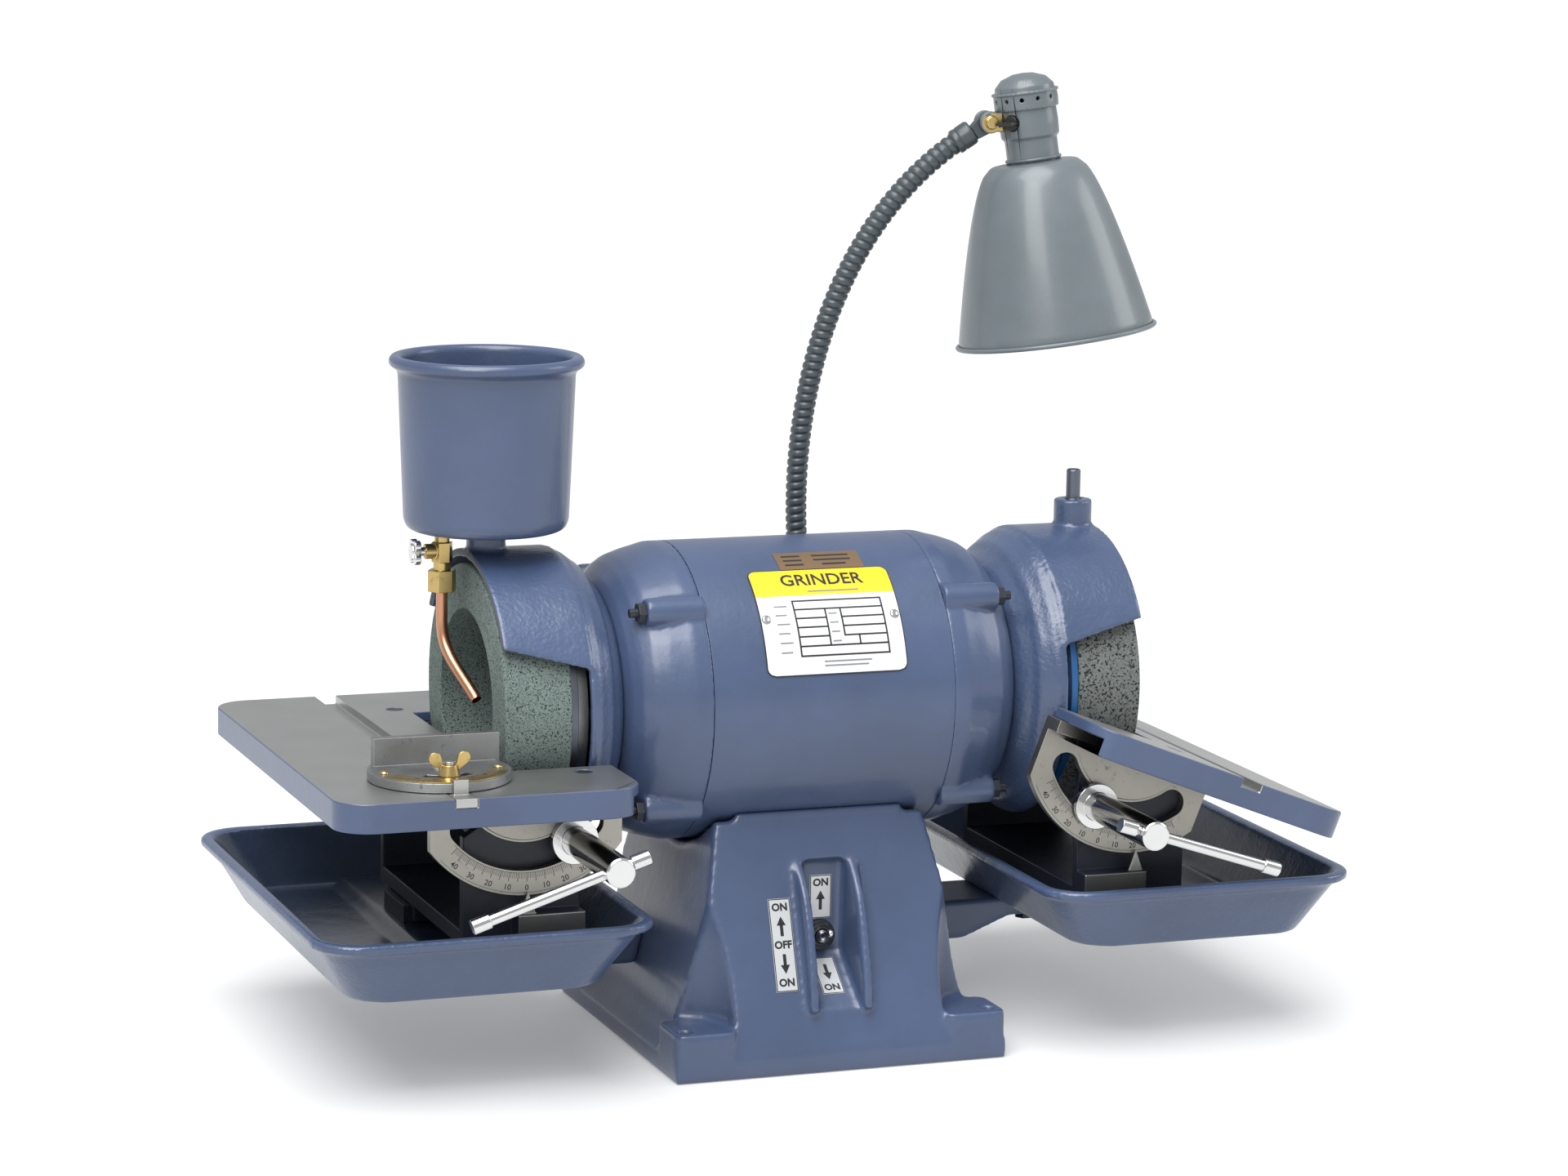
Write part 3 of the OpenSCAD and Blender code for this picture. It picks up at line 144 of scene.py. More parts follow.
class Recipe:
    """A material grown node by node round one Principled shader."""

    def __init__(self, name: str) -> None:
        """Starts an empty material.

        Args:
            name: The material's name.
        """
        self.material = bpy.data.materials.new(name)
        self.material.use_nodes = True
        self.tree = self.material.node_tree
        self.tree.nodes.clear()
        self.shader = self.tree.nodes.new("ShaderNodeBsdfPrincipled")
        out = self.tree.nodes.new("ShaderNodeOutputMaterial")
        self.tree.links.new(self.shader.outputs[0], out.inputs[0])
        self.place = self.node("ShaderNodeTexCoord")["Object"]

    def node(self, kind: str, settings: dict | None = None, inputs: dict | None = None) -> Made:
        """Adds a node.

        Args:
            kind: The node's type.
            settings: Its properties, set first.
            inputs: Values or links of its sockets, by name or number.

        Returns:
            The node, read by its outputs.
        """
        made = self.tree.nodes.new(kind)
        for key, value in (settings or {}).items():
            setattr(made, key, value)
        for key, value in (inputs or {}).items():
            if isinstance(value, Value):
                self.tree.links.new(value.socket, made.inputs[key])
            else:
                made.inputs[key].default_value = value
        return Made(self, made)

    def noise(self, scale: float, detail: float = 2, rough: float = 0.5, stretch: Colour | None = None) -> Value:
        """Smooth noise over the piece.

        Args:
            scale: Features per metre.
            detail: Octaves.
            rough: How strong the finer octaves are.
            stretch: Factors on X, Y and Z; a small one draws the pattern out along that axis.

        Returns:
            A value round 0.5.
        """
        place = self.place
        if stretch:
            place = self.node("ShaderNodeVectorMath", {"operation": "MULTIPLY"}, {0: place, 1: stretch})[0]
        inputs = {"Vector": place, "Scale": scale, "Detail": detail, "Roughness": rough}
        return self.node("ShaderNodeTexNoise", None, inputs)[0]

    def cells(self, scale: float) -> Made:
        """Voronoi cells of that many per metre."""
        return self.node("ShaderNodeTexVoronoi", None, {"Vector": self.place, "Scale": scale})

    def mix(self, mask: Number, low: "Value | Colour", high: "Value | Colour") -> Value:
        """Blends two colours by a mask.

        Args:
            mask: 0 gives low and 1 gives high.
            low: A colour or a colour value.
            high: A colour or a colour value.

        Returns:
            The blended colour.
        """
        ends = {6: low, 7: high}
        inputs = {k: v if isinstance(v, Value) else (*v, 1.0) for k, v in ends.items()}
        return self.node("ShaderNodeMix", {"data_type": "RGBA"}, {0: mask, **inputs})[2]

    def bump(self, height: Value, depth: float, strength: float = 1.0) -> Value:
        """A normal bent by a height.

        Args:
            height: 0 to 1.
            depth: Height of the relief in millimetres.
            strength: How much of it is used.

        Returns:
            The normal.
        """
        inputs = {"Height": height, "Distance": depth * MM, "Strength": strength}
        return self.node("ShaderNodeBump", None, inputs)[0]

    def finish(self, **sockets: "Number | Colour") -> bpy.types.Material:
        """Sets the shader's sockets, with _ for a space in a name.

        Returns:
            The material.
        """
        for key, value in sockets.items():
            socket = self.shader.inputs[key.replace("_", " ")]
            if isinstance(value, Value):
                self.tree.links.new(value.socket, socket)
            elif isinstance(value, tuple):
                socket.default_value = (*value, 1.0)
            else:
                socket.default_value = value
        return self.material


def times(colour: Colour, factor: float) -> Colour:
    """The colour made lighter or darker."""
    return tuple(min(1.0, c * factor) for c in colour)


# ---------- finishes ----------


@dataclass(frozen=True)
class Enamel:
    """Sprayed enamel over a casting: a gloss coat with orange peel and low lumps."""

    name: str
    colour: Colour
    peel: float = 0.10
    lumps: float = 0.35
    gloss: float = 0.30

    def make(self) -> bpy.types.Material:
        """Builds the material."""
        r = Recipe(self.name)
        cloud = r.noise(11, 4, 0.6)
        peel = r.noise(430, 1.5)
        lumps = r.noise(62, 2)
        dust = r.noise(1500, 2).band(0.66, 0.74)
        tone = r.mix(cloud.band(0.3, 0.7), times(self.colour, 0.90), times(self.colour, 1.10))
        tone = r.mix(dust * 0.25, tone, times(self.colour, 1.9))
        rough = self.gloss + cloud * 0.14 + peel * 0.05
        normal = r.bump(peel * self.peel + lumps * self.lumps, 1.0)
        return r.finish(
            Base_Color=tone,
            Roughness=rough,
            Normal=normal,
            Coat_Weight=0.35,
            Coat_Roughness=0.16,
            Specular_IOR_Level=0.5,
        )


@dataclass(frozen=True)
class Abrasive:
    """A bonded wheel: pale grains, dark pores and a rough face."""

    name: str
    pale: Colour
    grain: Colour
    pore: Colour
    pores: float
    cover: float

    def make(self) -> bpy.types.Material:
        """Builds the material."""
        r = Recipe(self.name)
        cells = r.cells(1500)
        grains = r.node("ShaderNodeSeparateColor", None, {0: cells["Color"]})[0]
        pores = r.noise(self.pores, 2, 0.7).band(self.cover, self.cover + 0.05)
        fine = r.noise(2600, 2, 0.6)
        cloud = r.noise(26, 3)
        body = r.mix(grains, self.pale, self.grain)
        body = r.mix(cloud.band(0.35, 0.7) * 0.35, body, times(self.pale, 1.25))
        body = r.mix(pores, body, self.pore)
        relief = fine * 0.25 + grains * 0.2 - pores * 0.6
        return r.finish(Base_Color=body, Roughness=0.82 + fine * 0.16, Normal=r.bump(relief, 0.45))


class Lay(Enum):
    """Which way the marks of the last cut run; the small factor is along them."""

    ALONG_X = (0.02, 1.0, 1.0)
    ALONG_Y = (1.0, 0.02, 1.0)
    ALONG_Z = (1.0, 1.0, 0.02)
    NONE = (1.0, 1.0, 1.0)


@dataclass(frozen=True)
class Metal:
    """Bare or plated metal with fine cutting marks, clouding and small stains."""

    name: str
    colour: Colour
    rough: float
    lay: Lay = Lay.NONE
    marks: float = 0.03
    cloud: float = 0.12
    stain: Colour = (0.10, 0.09, 0.08)
    stained: float = 0.0

    def make(self) -> bpy.types.Material:
        """Builds the material."""
        r = Recipe(self.name)
        streaks = r.noise(2400, 3, 0.6, self.lay.value)
        cloud = r.noise(38, 4, 0.6)
        spots = r.noise(210, 3, 0.6).band(0.60, 0.74)
        tone = r.mix(cloud, times(self.colour, 1 - self.cloud), times(self.colour, 1 + self.cloud))
        tone = r.mix(spots * self.stained, tone, self.stain)
        rough = self.rough + cloud * (self.cloud * 0.8) + streaks * 0.08 + spots * (self.stained * 0.3)
        lay = r.bump(streaks, self.marks)
        return r.finish(Base_Color=tone, Metallic=1.0, Roughness=rough - 0.05, Normal=lay)


@dataclass(frozen=True)
class Moulded:
    """Moulded plastic, rubber or black-oxide steel: dark, with a fine grain."""

    name: str
    colour: Colour
    rough: float = 0.45
    grain: float = 0.03

    def make(self) -> bpy.types.Material:
        """Builds the material."""
        r = Recipe(self.name)
        cloud = r.noise(60, 3)
        grain = r.noise(1700, 2)
        tone = r.mix(cloud, times(self.colour, 0.8), times(self.colour, 1.25))
        return r.finish(Base_Color=tone, Roughness=self.rough + cloud * 0.1, Normal=r.bump(grain, self.grain))


@dataclass(frozen=True)
class Printed:
    """Printed metal plate: flat ink with a faint satin texture."""

    name: str
    colour: Colour
    rough: float = 0.34
    metallic: float = 0.0

    def make(self) -> bpy.types.Material:
        """Builds the material."""
        r = Recipe(self.name)
        satin = r.noise(1900, 2, 0.6, Lay.ALONG_X.value)
        cloud = r.noise(45, 3)
        tone = r.mix(cloud, times(self.colour, 0.95), times(self.colour, 1.04))
        rough = self.rough + satin * 0.1
        return r.finish(Base_Color=tone, Metallic=self.metallic, Roughness=rough, Normal=r.bump(satin, 0.015))


@dataclass(frozen=True)
class Frosted:
    """Frosted glass of the lamp bulb."""

    name: str

    def make(self) -> bpy.types.Material:
        """Builds the material."""
        r = Recipe(self.name)
        frost = r.noise(700, 2)
        tone = r.mix(frost, (0.86, 0.86, 0.82), (0.95, 0.95, 0.92))
        rough = 0.35 + frost * 0.1
        return r.finish(Base_Color=tone, Roughness=rough, Subsurface_Weight=0.3, Subsurface_Scale=0.01)


class Finish(Enum):
    """Every finish on the machine."""

    BLUE = Enamel("blue_enamel", (0.046, 0.069, 0.135))
    BLUE_ROUGH = Enamel("blue_enamel_cast", (0.047, 0.071, 0.138), 0.34, 0.9, 0.24)
    # Darker, glossier blue for the trays' insides: painted shade in the tray hollow.
    BLUE_WET = Enamel("blue_enamel_wet", (0.019, 0.030, 0.056), 0.20, 0.6, 0.20)
    GREY = Enamel("grey_enamel", (0.107, 0.128, 0.139), 0.05, 0.1, 0.30)
    DARK_GREY = Enamel("gooseneck_enamel", (0.037, 0.048, 0.055), 0.04, 0.1, 0.36)
    GREEN_WHEEL = Abrasive(
        "green_abrasive", (0.153, 0.194, 0.178), (0.088, 0.122, 0.112), (0.015, 0.023, 0.022), 1050, 0.565
    )
    GREY_WHEEL = Abrasive(
        "grey_abrasive", (0.143, 0.155, 0.149), (0.081, 0.093, 0.090), (0.006, 0.007, 0.007), 620, 0.545
    )
    GROUND = Metal("ground_steel", (0.464, 0.464, 0.452), 0.36, Lay.ALONG_Y, 0.03, 0.10)
    FENCE = Metal(
        "gauge_zinc", (0.294, 0.301, 0.301), 0.34, Lay.NONE, 0.05, 0.30, (0.070, 0.070, 0.070), 0.55
    )
    ZINC = Metal("zinc_steel", (0.390, 0.390, 0.375), 0.33, Lay.NONE, 0.03, 0.15)
    NICKEL = Metal(
        "nickel_plate", (0.360, 0.346, 0.310), 0.33, Lay.ALONG_Z, 0.03, 0.20, (0.086, 0.079, 0.072), 0.35
    )
    DARK_STEEL = Metal("dark_steel", (0.140, 0.154, 0.182), 0.35, Lay.ALONG_Z, 0.04, 0.15)
    BEARING = Metal("bearing_steel", (0.60, 0.60, 0.60), 0.18)
    LAMINATED = Metal("lamination_steel", (0.25, 0.25, 0.26), 0.45, Lay.ALONG_Z)
    WIRE = Metal("copper_wire", (0.45, 0.18, 0.07), 0.35)
    COPPER = Metal("copper", (0.578, 0.281, 0.170), 0.27, Lay.NONE, 0.02, 0.18, (0.212, 0.102, 0.060), 0.30)
    BRASS = Metal("brass", (0.544, 0.400, 0.160), 0.24, Lay.NONE, 0.02, 0.15, (0.192, 0.128, 0.056), 0.35)
    CHROME = Metal("chrome", (0.664, 0.664, 0.656), 0.13, Lay.NONE, 0.01, 0.06)
    ALUMINIUM = Metal("aluminium", (0.55, 0.55, 0.57), 0.40)
    RAW_EDGE = Moulded("raw_casting", (0.059, 0.066, 0.077), 0.55, 0.5)
    IRON = Moulded("dark_iron", (0.012, 0.016, 0.027), 0.38, 0.20)
    BLACK_STEEL = Moulded("black_steel", (0.013, 0.016, 0.024), 0.34, 0.05)
    BLACK = Moulded("black_plastic", (0.010, 0.010, 0.010), 0.30)
    BACKING = Enamel("backing_blue", (0.007, 0.098, 0.285), 0.05, 0.1, 0.38)
    WHITE_PLATE = Printed("plate_white", (0.585, 0.592, 0.592))
    YELLOW_INK = Printed("plate_yellow", (0.630, 0.476, 0.014))
    BLACK_INK = Printed("plate_ink", (0.012, 0.012, 0.014), 0.40)
    GREY_INK = Printed("plate_grey_ink", (0.180, 0.186, 0.192), 0.40)
    COPPER_FOIL = Printed("plate_copper", (0.294, 0.189, 0.112), 0.30, 0.7)
    SILVER_FOIL = Printed("plate_silver", (0.533, 0.547, 0.554), 0.30, 0.3)
    BULB = Frosted("bulb_glass")

    @property
    def material(self) -> bpy.types.Material:
        """The finish's material, built once."""
        return bpy.data.materials.get(self.value.name + "_finish") or self._built()

    def _built(self) -> bpy.types.Material:
        """Builds the material and gives it a name that can be found again."""
        material = self.value.make()
        material.name = self.value.name + "_finish"
        return material


# ---------- meshes ----------


def turned(pts: np.ndarray, place: Matrix | None) -> np.ndarray:
    """The points carried by a placing matrix, whose shift is in millimetres.

    Args:
        pts: Array with X, Y and Z last.
        place: The matrix, or None for no change.

    Returns:
        An array of the same shape.
    """
    if place is None:
        return pts
    m = np.array(place)
    return pts @ m[:3, :3].T + m[:3, 3]


def mesh_of(name: str, verts: np.ndarray, faces: Iterable[Sequence[int]], smooth: float = 35.0) -> bpy.types.Object:
    """An object from points in millimetres and faces, with its doubles merged and its faces turned outwards.

    Args:
        name: The object's name.
        verts: One row of X, Y and Z for each point.
        faces: Point numbers of each face.
        smooth: Edges flatter than this many degrees are shaded smooth.

    Returns:
        The object.
    """
    mesh = bpy.data.meshes.new(name)
    mesh.from_pydata((verts * MM).tolist(), [], [list(f) for f in faces])
    bm = bmesh.new()
    bm.from_mesh(mesh)
    bmesh.ops.remove_doubles(bm, verts=bm.verts, dist=1e-6)
    bmesh.ops.recalc_face_normals(bm, faces=bm.faces)
    bm.to_mesh(mesh)
    bm.free()
    mesh.shade_smooth()
    mesh.set_sharp_from_angle(angle=math.radians(smooth))
    obj = bpy.data.objects.new(name, mesh)
    bpy.context.scene.collection.objects.link(obj)
    return obj


def grid_faces(rows: int, cols: int, wrap_rows: bool, wrap_cols: bool, caps: bool) -> list[list[int]]:
    """Quads of a grid of points, numbered row by row.

    Args:
        rows: Number of rows.
        cols: Number of columns.
        wrap_rows: Whether the last row joins the first.
        wrap_cols: Whether the last column joins the first.
        caps: Whether the first and last rows are closed by a face each.

    Returns:
        The faces.
    """
    i = np.arange(rows if wrap_rows else rows - 1)[:, None]
    j = np.arange(cols if wrap_cols else cols - 1)[None, :]
    i2, j2 = (i + 1) % rows, (j + 1) % cols
    quads = np.stack(np.broadcast_arrays(i * cols + j, i * cols + j2, i2 * cols + j2, i2 * cols + j), -1)
    faces = quads.reshape(-1, 4).tolist()
    if caps:
        faces += [list(range(cols))[::-1], list(range((rows - 1) * cols, rows * cols))]
    return faces


def surface(
    name: str, pts: np.ndarray, wrap_rows: bool = False, caps: bool = False, **kw: float
) -> bpy.types.Object:
    """A surface on a grid of points whose columns close into rings.

    Args:
        name: The object's name.
        pts: Rows by columns by 3, in millimetres.
        wrap_rows: Whether the last row joins the first.
        caps: Whether the two end rows are closed.
        **kw: Passed on to mesh_of.

    Returns:
        The object.
    """
    rows, cols = pts.shape[:2]
    return mesh_of(name, pts.reshape(-1, 3), grid_faces(rows, cols, wrap_rows, True, caps), **kw)


def softened(outline: Sequence[Sequence[float]], radius: float, steps: int = 5, closed: bool = True) -> np.ndarray:
    """An outline with its corners eased: each corner becomes the curve (1-t)^2 a + 2t(1-t) p + t^2 b from a point a on one
    side of the corner p to a point b on the other, each at most 0.45 of a side away.

    Args:
        outline: The corner points.
        radius: How far from the corner a and b lie.
        steps: Points on each eased corner.
        closed: Whether the outline is a loop; if not, its two ends stay.

    Returns:
        The points of the eased outline.
    """
    p = np.asarray(outline, float)
    before, after = np.roll(p, 1, 0) - p, np.roll(p, -1, 0) - p
    shares = [np.minimum(radius / np.maximum(np.linalg.norm(v, axis=1), 1e-9), 0.45) for v in (before, after)]
    reach = [share[:, None] * v for share, v in zip(shares, (before, after))]
    t = np.linspace(0, 1, steps)[None, :, None]
    a, b, c = p[:, None] + reach[0][:, None], p[:, None] + reach[1][:, None], p[:, None]
    curve = (1 - t) ** 2 * a + 2 * t * (1 - t) * c + t**2 * b
    if closed:
        return curve.reshape(-1, p.shape[1])
    return np.vstack([p[:1], curve[1:-1].reshape(-1, p.shape[1]), p[-1:]])


def lathe(
    name: str, profile: np.ndarray, place: Matrix | None = None, steps: int = 96, loop: bool = True
) -> bpy.types.Object:
    """A turned piece: each profile point [r, z] runs round Z, so a point is (r cos a, r sin a, z).

    Args:
        name: The object's name.
        profile: Rows of radius and height.
        place: Where the piece goes.
        steps: Points round the axis.
        loop: Whether the profile is a closed loop.

    Returns:
        The object.
    """
    a = np.linspace(0, 2 * np.pi, steps, endpoint=False)
    r, z = profile[:, :1], profile[:, 1:]
    pts = np.stack([r * np.cos(a), r * np.sin(a), np.broadcast_to(z, (len(profile), steps))], -1)
    return surface(name, turned(pts, place), wrap_rows=loop)


def frames_along(path: np.ndarray, side: Sequence[float]) -> tuple[np.ndarray, np.ndarray]:
    """Two directions across a path: u is the path's direction crossed with a fixed side direction, w completes them.

    Args:
        path: Points of the path.
        side: A direction that the path never runs along.

    Returns:
        The arrays u and w.
    """
    d = np.gradient(path, axis=0)
    d /= np.linalg.norm(d, axis=1, keepdims=True)
    u = np.cross(np.asarray(side, float), d)
    u /= np.linalg.norm(u, axis=1, keepdims=True)
    return u, np.cross(d, u)


def swept(path: np.ndarray, radius: np.ndarray, side: Sequence[float], steps: int) -> np.ndarray:
    """Rings round a path: a point is the path's point plus radius times (cos a u + sin a w).

    Args:
        path: Points of the path.
        radius: One radius for each path point, or one for each point of each ring.
        side: A direction that the path never runs along.
        steps: Points in a ring.

    Returns:
        Rows by steps by 3.
    """
    u, w = frames_along(path, side)
    a = np.linspace(0, 2 * np.pi, steps, endpoint=False)
    radius = np.broadcast_to(np.asarray(radius, float).reshape(len(path), -1), (len(path), steps))
    across = np.cos(a)[None, :, None] * u[:, None] + np.sin(a)[None, :, None] * w[:, None]
    return path[:, None] + radius[..., None] * across


def bezier(p: Sequence[Sequence[float]], t: np.ndarray) -> np.ndarray:
    """Points of a cubic curve: (1-t)^3 p0 + 3t(1-t)^2 p1 + 3t^2(1-t) p2 + t^3 p3."""
    q = np.asarray(p, float)
    t = np.asarray(t, float)[:, None]
    return (1 - t) ** 3 * q[0] + 3 * t * (1 - t) ** 2 * q[1] + 3 * t**2 * (1 - t) * q[2] + t**3 * q[3]


def evenly(path: np.ndarray, step: float) -> tuple[np.ndarray, np.ndarray]:
    """The path with its points a step apart along it.

    Args:
        path: Points of the path.
        step: Distance between the new points.

    Returns:
        The new points and the length up to each.
    """
    gone = np.concatenate([[0], np.cumsum(np.linalg.norm(np.diff(path, axis=0), axis=1))])
    s = np.linspace(0, gone[-1], int(gone[-1] / step) + 2)
    return np.stack([np.interp(s, gone, path[:, k]) for k in range(3)], -1), s


def prisms(
    name: str, outlines: Sequence[np.ndarray], low: float, high: float, warp: Callable
) -> bpy.types.Object:
    """Flat shapes with a thickness: each outline's points (u, v) become (u, v, low) and (u, v, high), then are warped.

    Args:
        name: The object's name.
        outlines: Arrays of u and v.
        low: Height of the underside.
        high: Height of the face.
        warp: Takes an array of (u, v, height) and gives the points in space.

    Returns:
        The object.
    """
    verts, faces, start = [], [], 0
    for outline in outlines:
        n = len(outline)
        levels = [np.column_stack([outline, np.full(n, h)]) for h in (low, high)]
        verts.append(np.vstack(levels))
        faces += [[start + k for k in face] for face in grid_faces(2, n, False, True, True)]
        start += 2 * n
    return mesh_of(name, warp(np.vstack(verts)), faces, smooth=20.0)


def on_plane(place: Matrix) -> Callable:
    """A warp that lays (u, v, height) on a plane given by its placing matrix."""
    return lambda pts: turned(pts, place)


def words(
    name: str, text: str, size: float, place: Matrix, thick: float = 0.06, bold: float = 0.0
) -> bpy.types.Object:
    """Raised lettering, centred on its place.

    Args:
        name: The object's name.
        text: The letters.
        size: Height of a line in millimetres.
        place: Where the middle of the text goes, shift in millimetres.
        thick: Thickness of the ink.
        bold: How much wider the strokes get.

    Returns:
        The object, as a mesh.
    """
    curve = bpy.data.curves.new(name, "FONT")
    curve.body, curve.size = text, size
    curve.align_x, curve.align_y = "CENTER", "CENTER"
    curve.extrude, curve.offset, curve.resolution_u = thick / 2, bold, 3
    holder = bpy.data.objects.new(name + "_curve", curve)
    bpy.context.scene.collection.objects.link(holder)
    depsgraph = bpy.context.evaluated_depsgraph_get()
    mesh = bpy.data.meshes.new_from_object(holder.evaluated_get(depsgraph))
    bpy.data.objects.remove(holder)
    bpy.data.curves.remove(curve)
    mesh.transform(Matrix.Scale(MM, 4) @ place)
    obj = bpy.data.objects.new(name, mesh)
    bpy.context.scene.collection.objects.link(obj)
    return obj


def joined(name: str, objs: Sequence[bpy.types.Object]) -> bpy.types.Object:
    """Several objects' meshes as one object; the others are removed."""
    bm = bmesh.new()
    for obj in objs:
        bm.from_mesh(obj.data)
        bpy.data.objects.remove(obj)
    mesh = bpy.data.meshes.new(name)
    bm.to_mesh(mesh)
    bm.free()
    obj = bpy.data.objects.new(name, mesh)
    bpy.context.scene.collection.objects.link(obj)
    return obj


def placed(origin: Sequence[float], right: Sequence[float], up: Sequence[float]) -> Matrix:
    """A placing matrix from an origin in millimetres and two directions; the third is right crossed with up."""
    x, y = Vector(right).normalized(), Vector(up).normalized()
    z = x.cross(y)
    rows = [(x[k], y[k], z[k], origin[k]) for k in range(3)]
    return Matrix((*rows, (0, 0, 0, 1)))


# ---------- dressing ----------


def dress(obj: bpy.types.Object, body: str, slot: str, *finishes: Finish) -> bpy.types.Object:
    """Gives a new piece its materials and its body.

    Args:
        obj: The piece.
        body: The body it rides on.
        slot: The record's slot that its finish comes from; it is not used.
        *finishes: Its finishes, in the order of its material slots.

    Returns:
        The piece.
    """
    obj.data.materials.clear()
    for finish in finishes:
        obj.data.materials.append(finish.material)
    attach(obj, body)
    LOG.info("%s rides on %s, %d faces", obj.name, body, len(obj.data.polygons))
    return obj


def rounded(
    node: str, width: float, *finishes: Finish, angle: float = 28.0, segments: int = 3
) -> bpy.types.Object:
    """A copy of a CAD node with its edges rounded, which stands for the node.

    Args:
        node: The CAD node.
        width: Width of the rounding in millimetres.
        *finishes: Its finishes; the first covers it all.
        angle: Edges sharper than this many degrees are rounded.
        segments: Faces across a rounding.

    Returns:
        The copy, dressed and riding on the node's body.
    """
    mesh = frame["nodes"][node].data.copy()
    mesh.name = node + "_look"
    bm = bmesh.new()
    bm.from_mesh(mesh)
    bmesh.ops.remove_doubles(bm, verts=bm.verts, dist=2e-6)
    flat = math.radians(0.4)
    bmesh.ops.dissolve_limit(bm, angle_limit=flat, verts=bm.verts, edges=bm.edges)
    bm.to_mesh(mesh)
    bm.free()
    obj = bpy.data.objects.new(node + "_look", mesh)
    bpy.context.scene.collection.objects.link(obj)
    if width > 0:
        bevel = obj.modifiers.new("rounding", "BEVEL")
        bevel.width, bevel.segments = width * MM, segments
        bevel.limit_method, bevel.angle_limit = "ANGLE", math.radians(angle)
        bevel.use_clamp_overlap = False
        settle(obj)
    if obj.data.has_custom_normals:
        obj.data.attributes.remove(obj.data.attributes["custom_normal"])
    obj.data.shade_smooth()
    obj.data.set_sharp_from_angle(angle=math.radians(33))
    weights = obj.modifiers.new("flat_faces", "WEIGHTED_NORMAL")
    weights.keep_sharp = True
    obj.data.polygons.foreach_set("material_index", np.zeros(len(obj.data.polygons), np.int32))
    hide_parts(node)
    return dress(obj, BODY_OF[node], SLOT_OF[node], *finishes)


def cast(node: str, voxel: float, passes: int, keep: Callable, *finishes: Finish) -> bpy.types.Object:
    """A copy of a CAD node with the soft corners and fillets of a casting, which stands for the node. The copy's skin is
    laid again as an even mesh, and then each point moves towards the middle of its neighbours a few times.

    Args:
        node: The CAD node.
        voxel: Size of the new mesh's faces in millimetres.
        passes: How many times the points move.
        keep: Takes the points in millimetres and is true for those that stay, such as a machined edge.
        *finishes: Its finishes; the first covers it all.

    Returns:
        The copy, dressed and riding on the node's body.
    """
    mesh = frame["nodes"][node].data.copy()
    bm = bmesh.new()
    bm.from_mesh(mesh)
    bmesh.ops.remove_doubles(bm, verts=bm.verts, dist=2e-6)
    bm.to_mesh(mesh)
    bm.free()
    obj = bpy.data.objects.new(node + "_look", mesh)
    bpy.context.scene.collection.objects.link(obj)
    skin = obj.modifiers.new("skin", "REMESH")
    skin.mode, skin.voxel_size, skin.use_smooth_shade = "VOXEL", voxel * MM, True
    settle(obj)
    co = np.empty(len(obj.data.vertices) * 3)
    obj.data.vertices.foreach_get("co", co)
    group = obj.vertex_groups.new(name="soft")
    group.add(np.flatnonzero(~keep(co.reshape(-1, 3) / MM)).tolist(), 1.0, "REPLACE")
    ease = obj.modifiers.new("ease", "SMOOTH")
    ease.factor, ease.iterations, ease.vertex_group = 0.5, passes, "soft"
    settle(obj)
    obj.data.polygons.foreach_set("material_index", np.zeros(len(obj.data.polygons), np.int32))
    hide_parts(node)
    return dress(obj, BODY_OF[node], SLOT_OF[node], *finishes)


def settle(obj: bpy.types.Object) -> None:
    """Turns an object's modifiers into its mesh."""
    depsgraph = bpy.context.evaluated_depsgraph_get()
    done = bpy.data.meshes.new_from_object(obj.evaluated_get(depsgraph))
    obj.modifiers.clear()
    obj.vertex_groups.clear()
    obj.data = done


def face_table(obj: bpy.types.Object) -> tuple[np.ndarray, np.ndarray]:
    """Centres, in millimetres, and normals of an object's faces."""
    n = len(obj.data.polygons)
    centres, normals = np.empty(n * 3), np.empty(n * 3)
    obj.data.polygons.foreach_get("center", centres)
    obj.data.polygons.foreach_get("normal", normals)
    return centres.reshape(-1, 3) / MM, normals.reshape(-1, 3)


def paint(obj: bpy.types.Object, which: np.ndarray, index: int = 1) -> None:
    """Gives the faces that a mask picks another of the piece's materials.

    Args:
        obj: The piece.
        which: True for each face to change.
        index: The material's number.
    """
    now = np.empty(len(which), np.int32)
    obj.data.polygons.foreach_get("material_index", now)
    obj.data.polygons.foreach_set("material_index", np.where(which, index, now).astype(np.int32))


# ---------- sub-assemblies ----------


def seam(points: np.ndarray) -> np.ndarray:
    """Picks the points of an end bell that lie next to its seam with the shell."""
    return np.abs(points[:, 0]) < 72.6


def nothing(points: np.ndarray) -> np.ndarray:
    """Picks no point."""
    return np.zeros(len(points), bool)


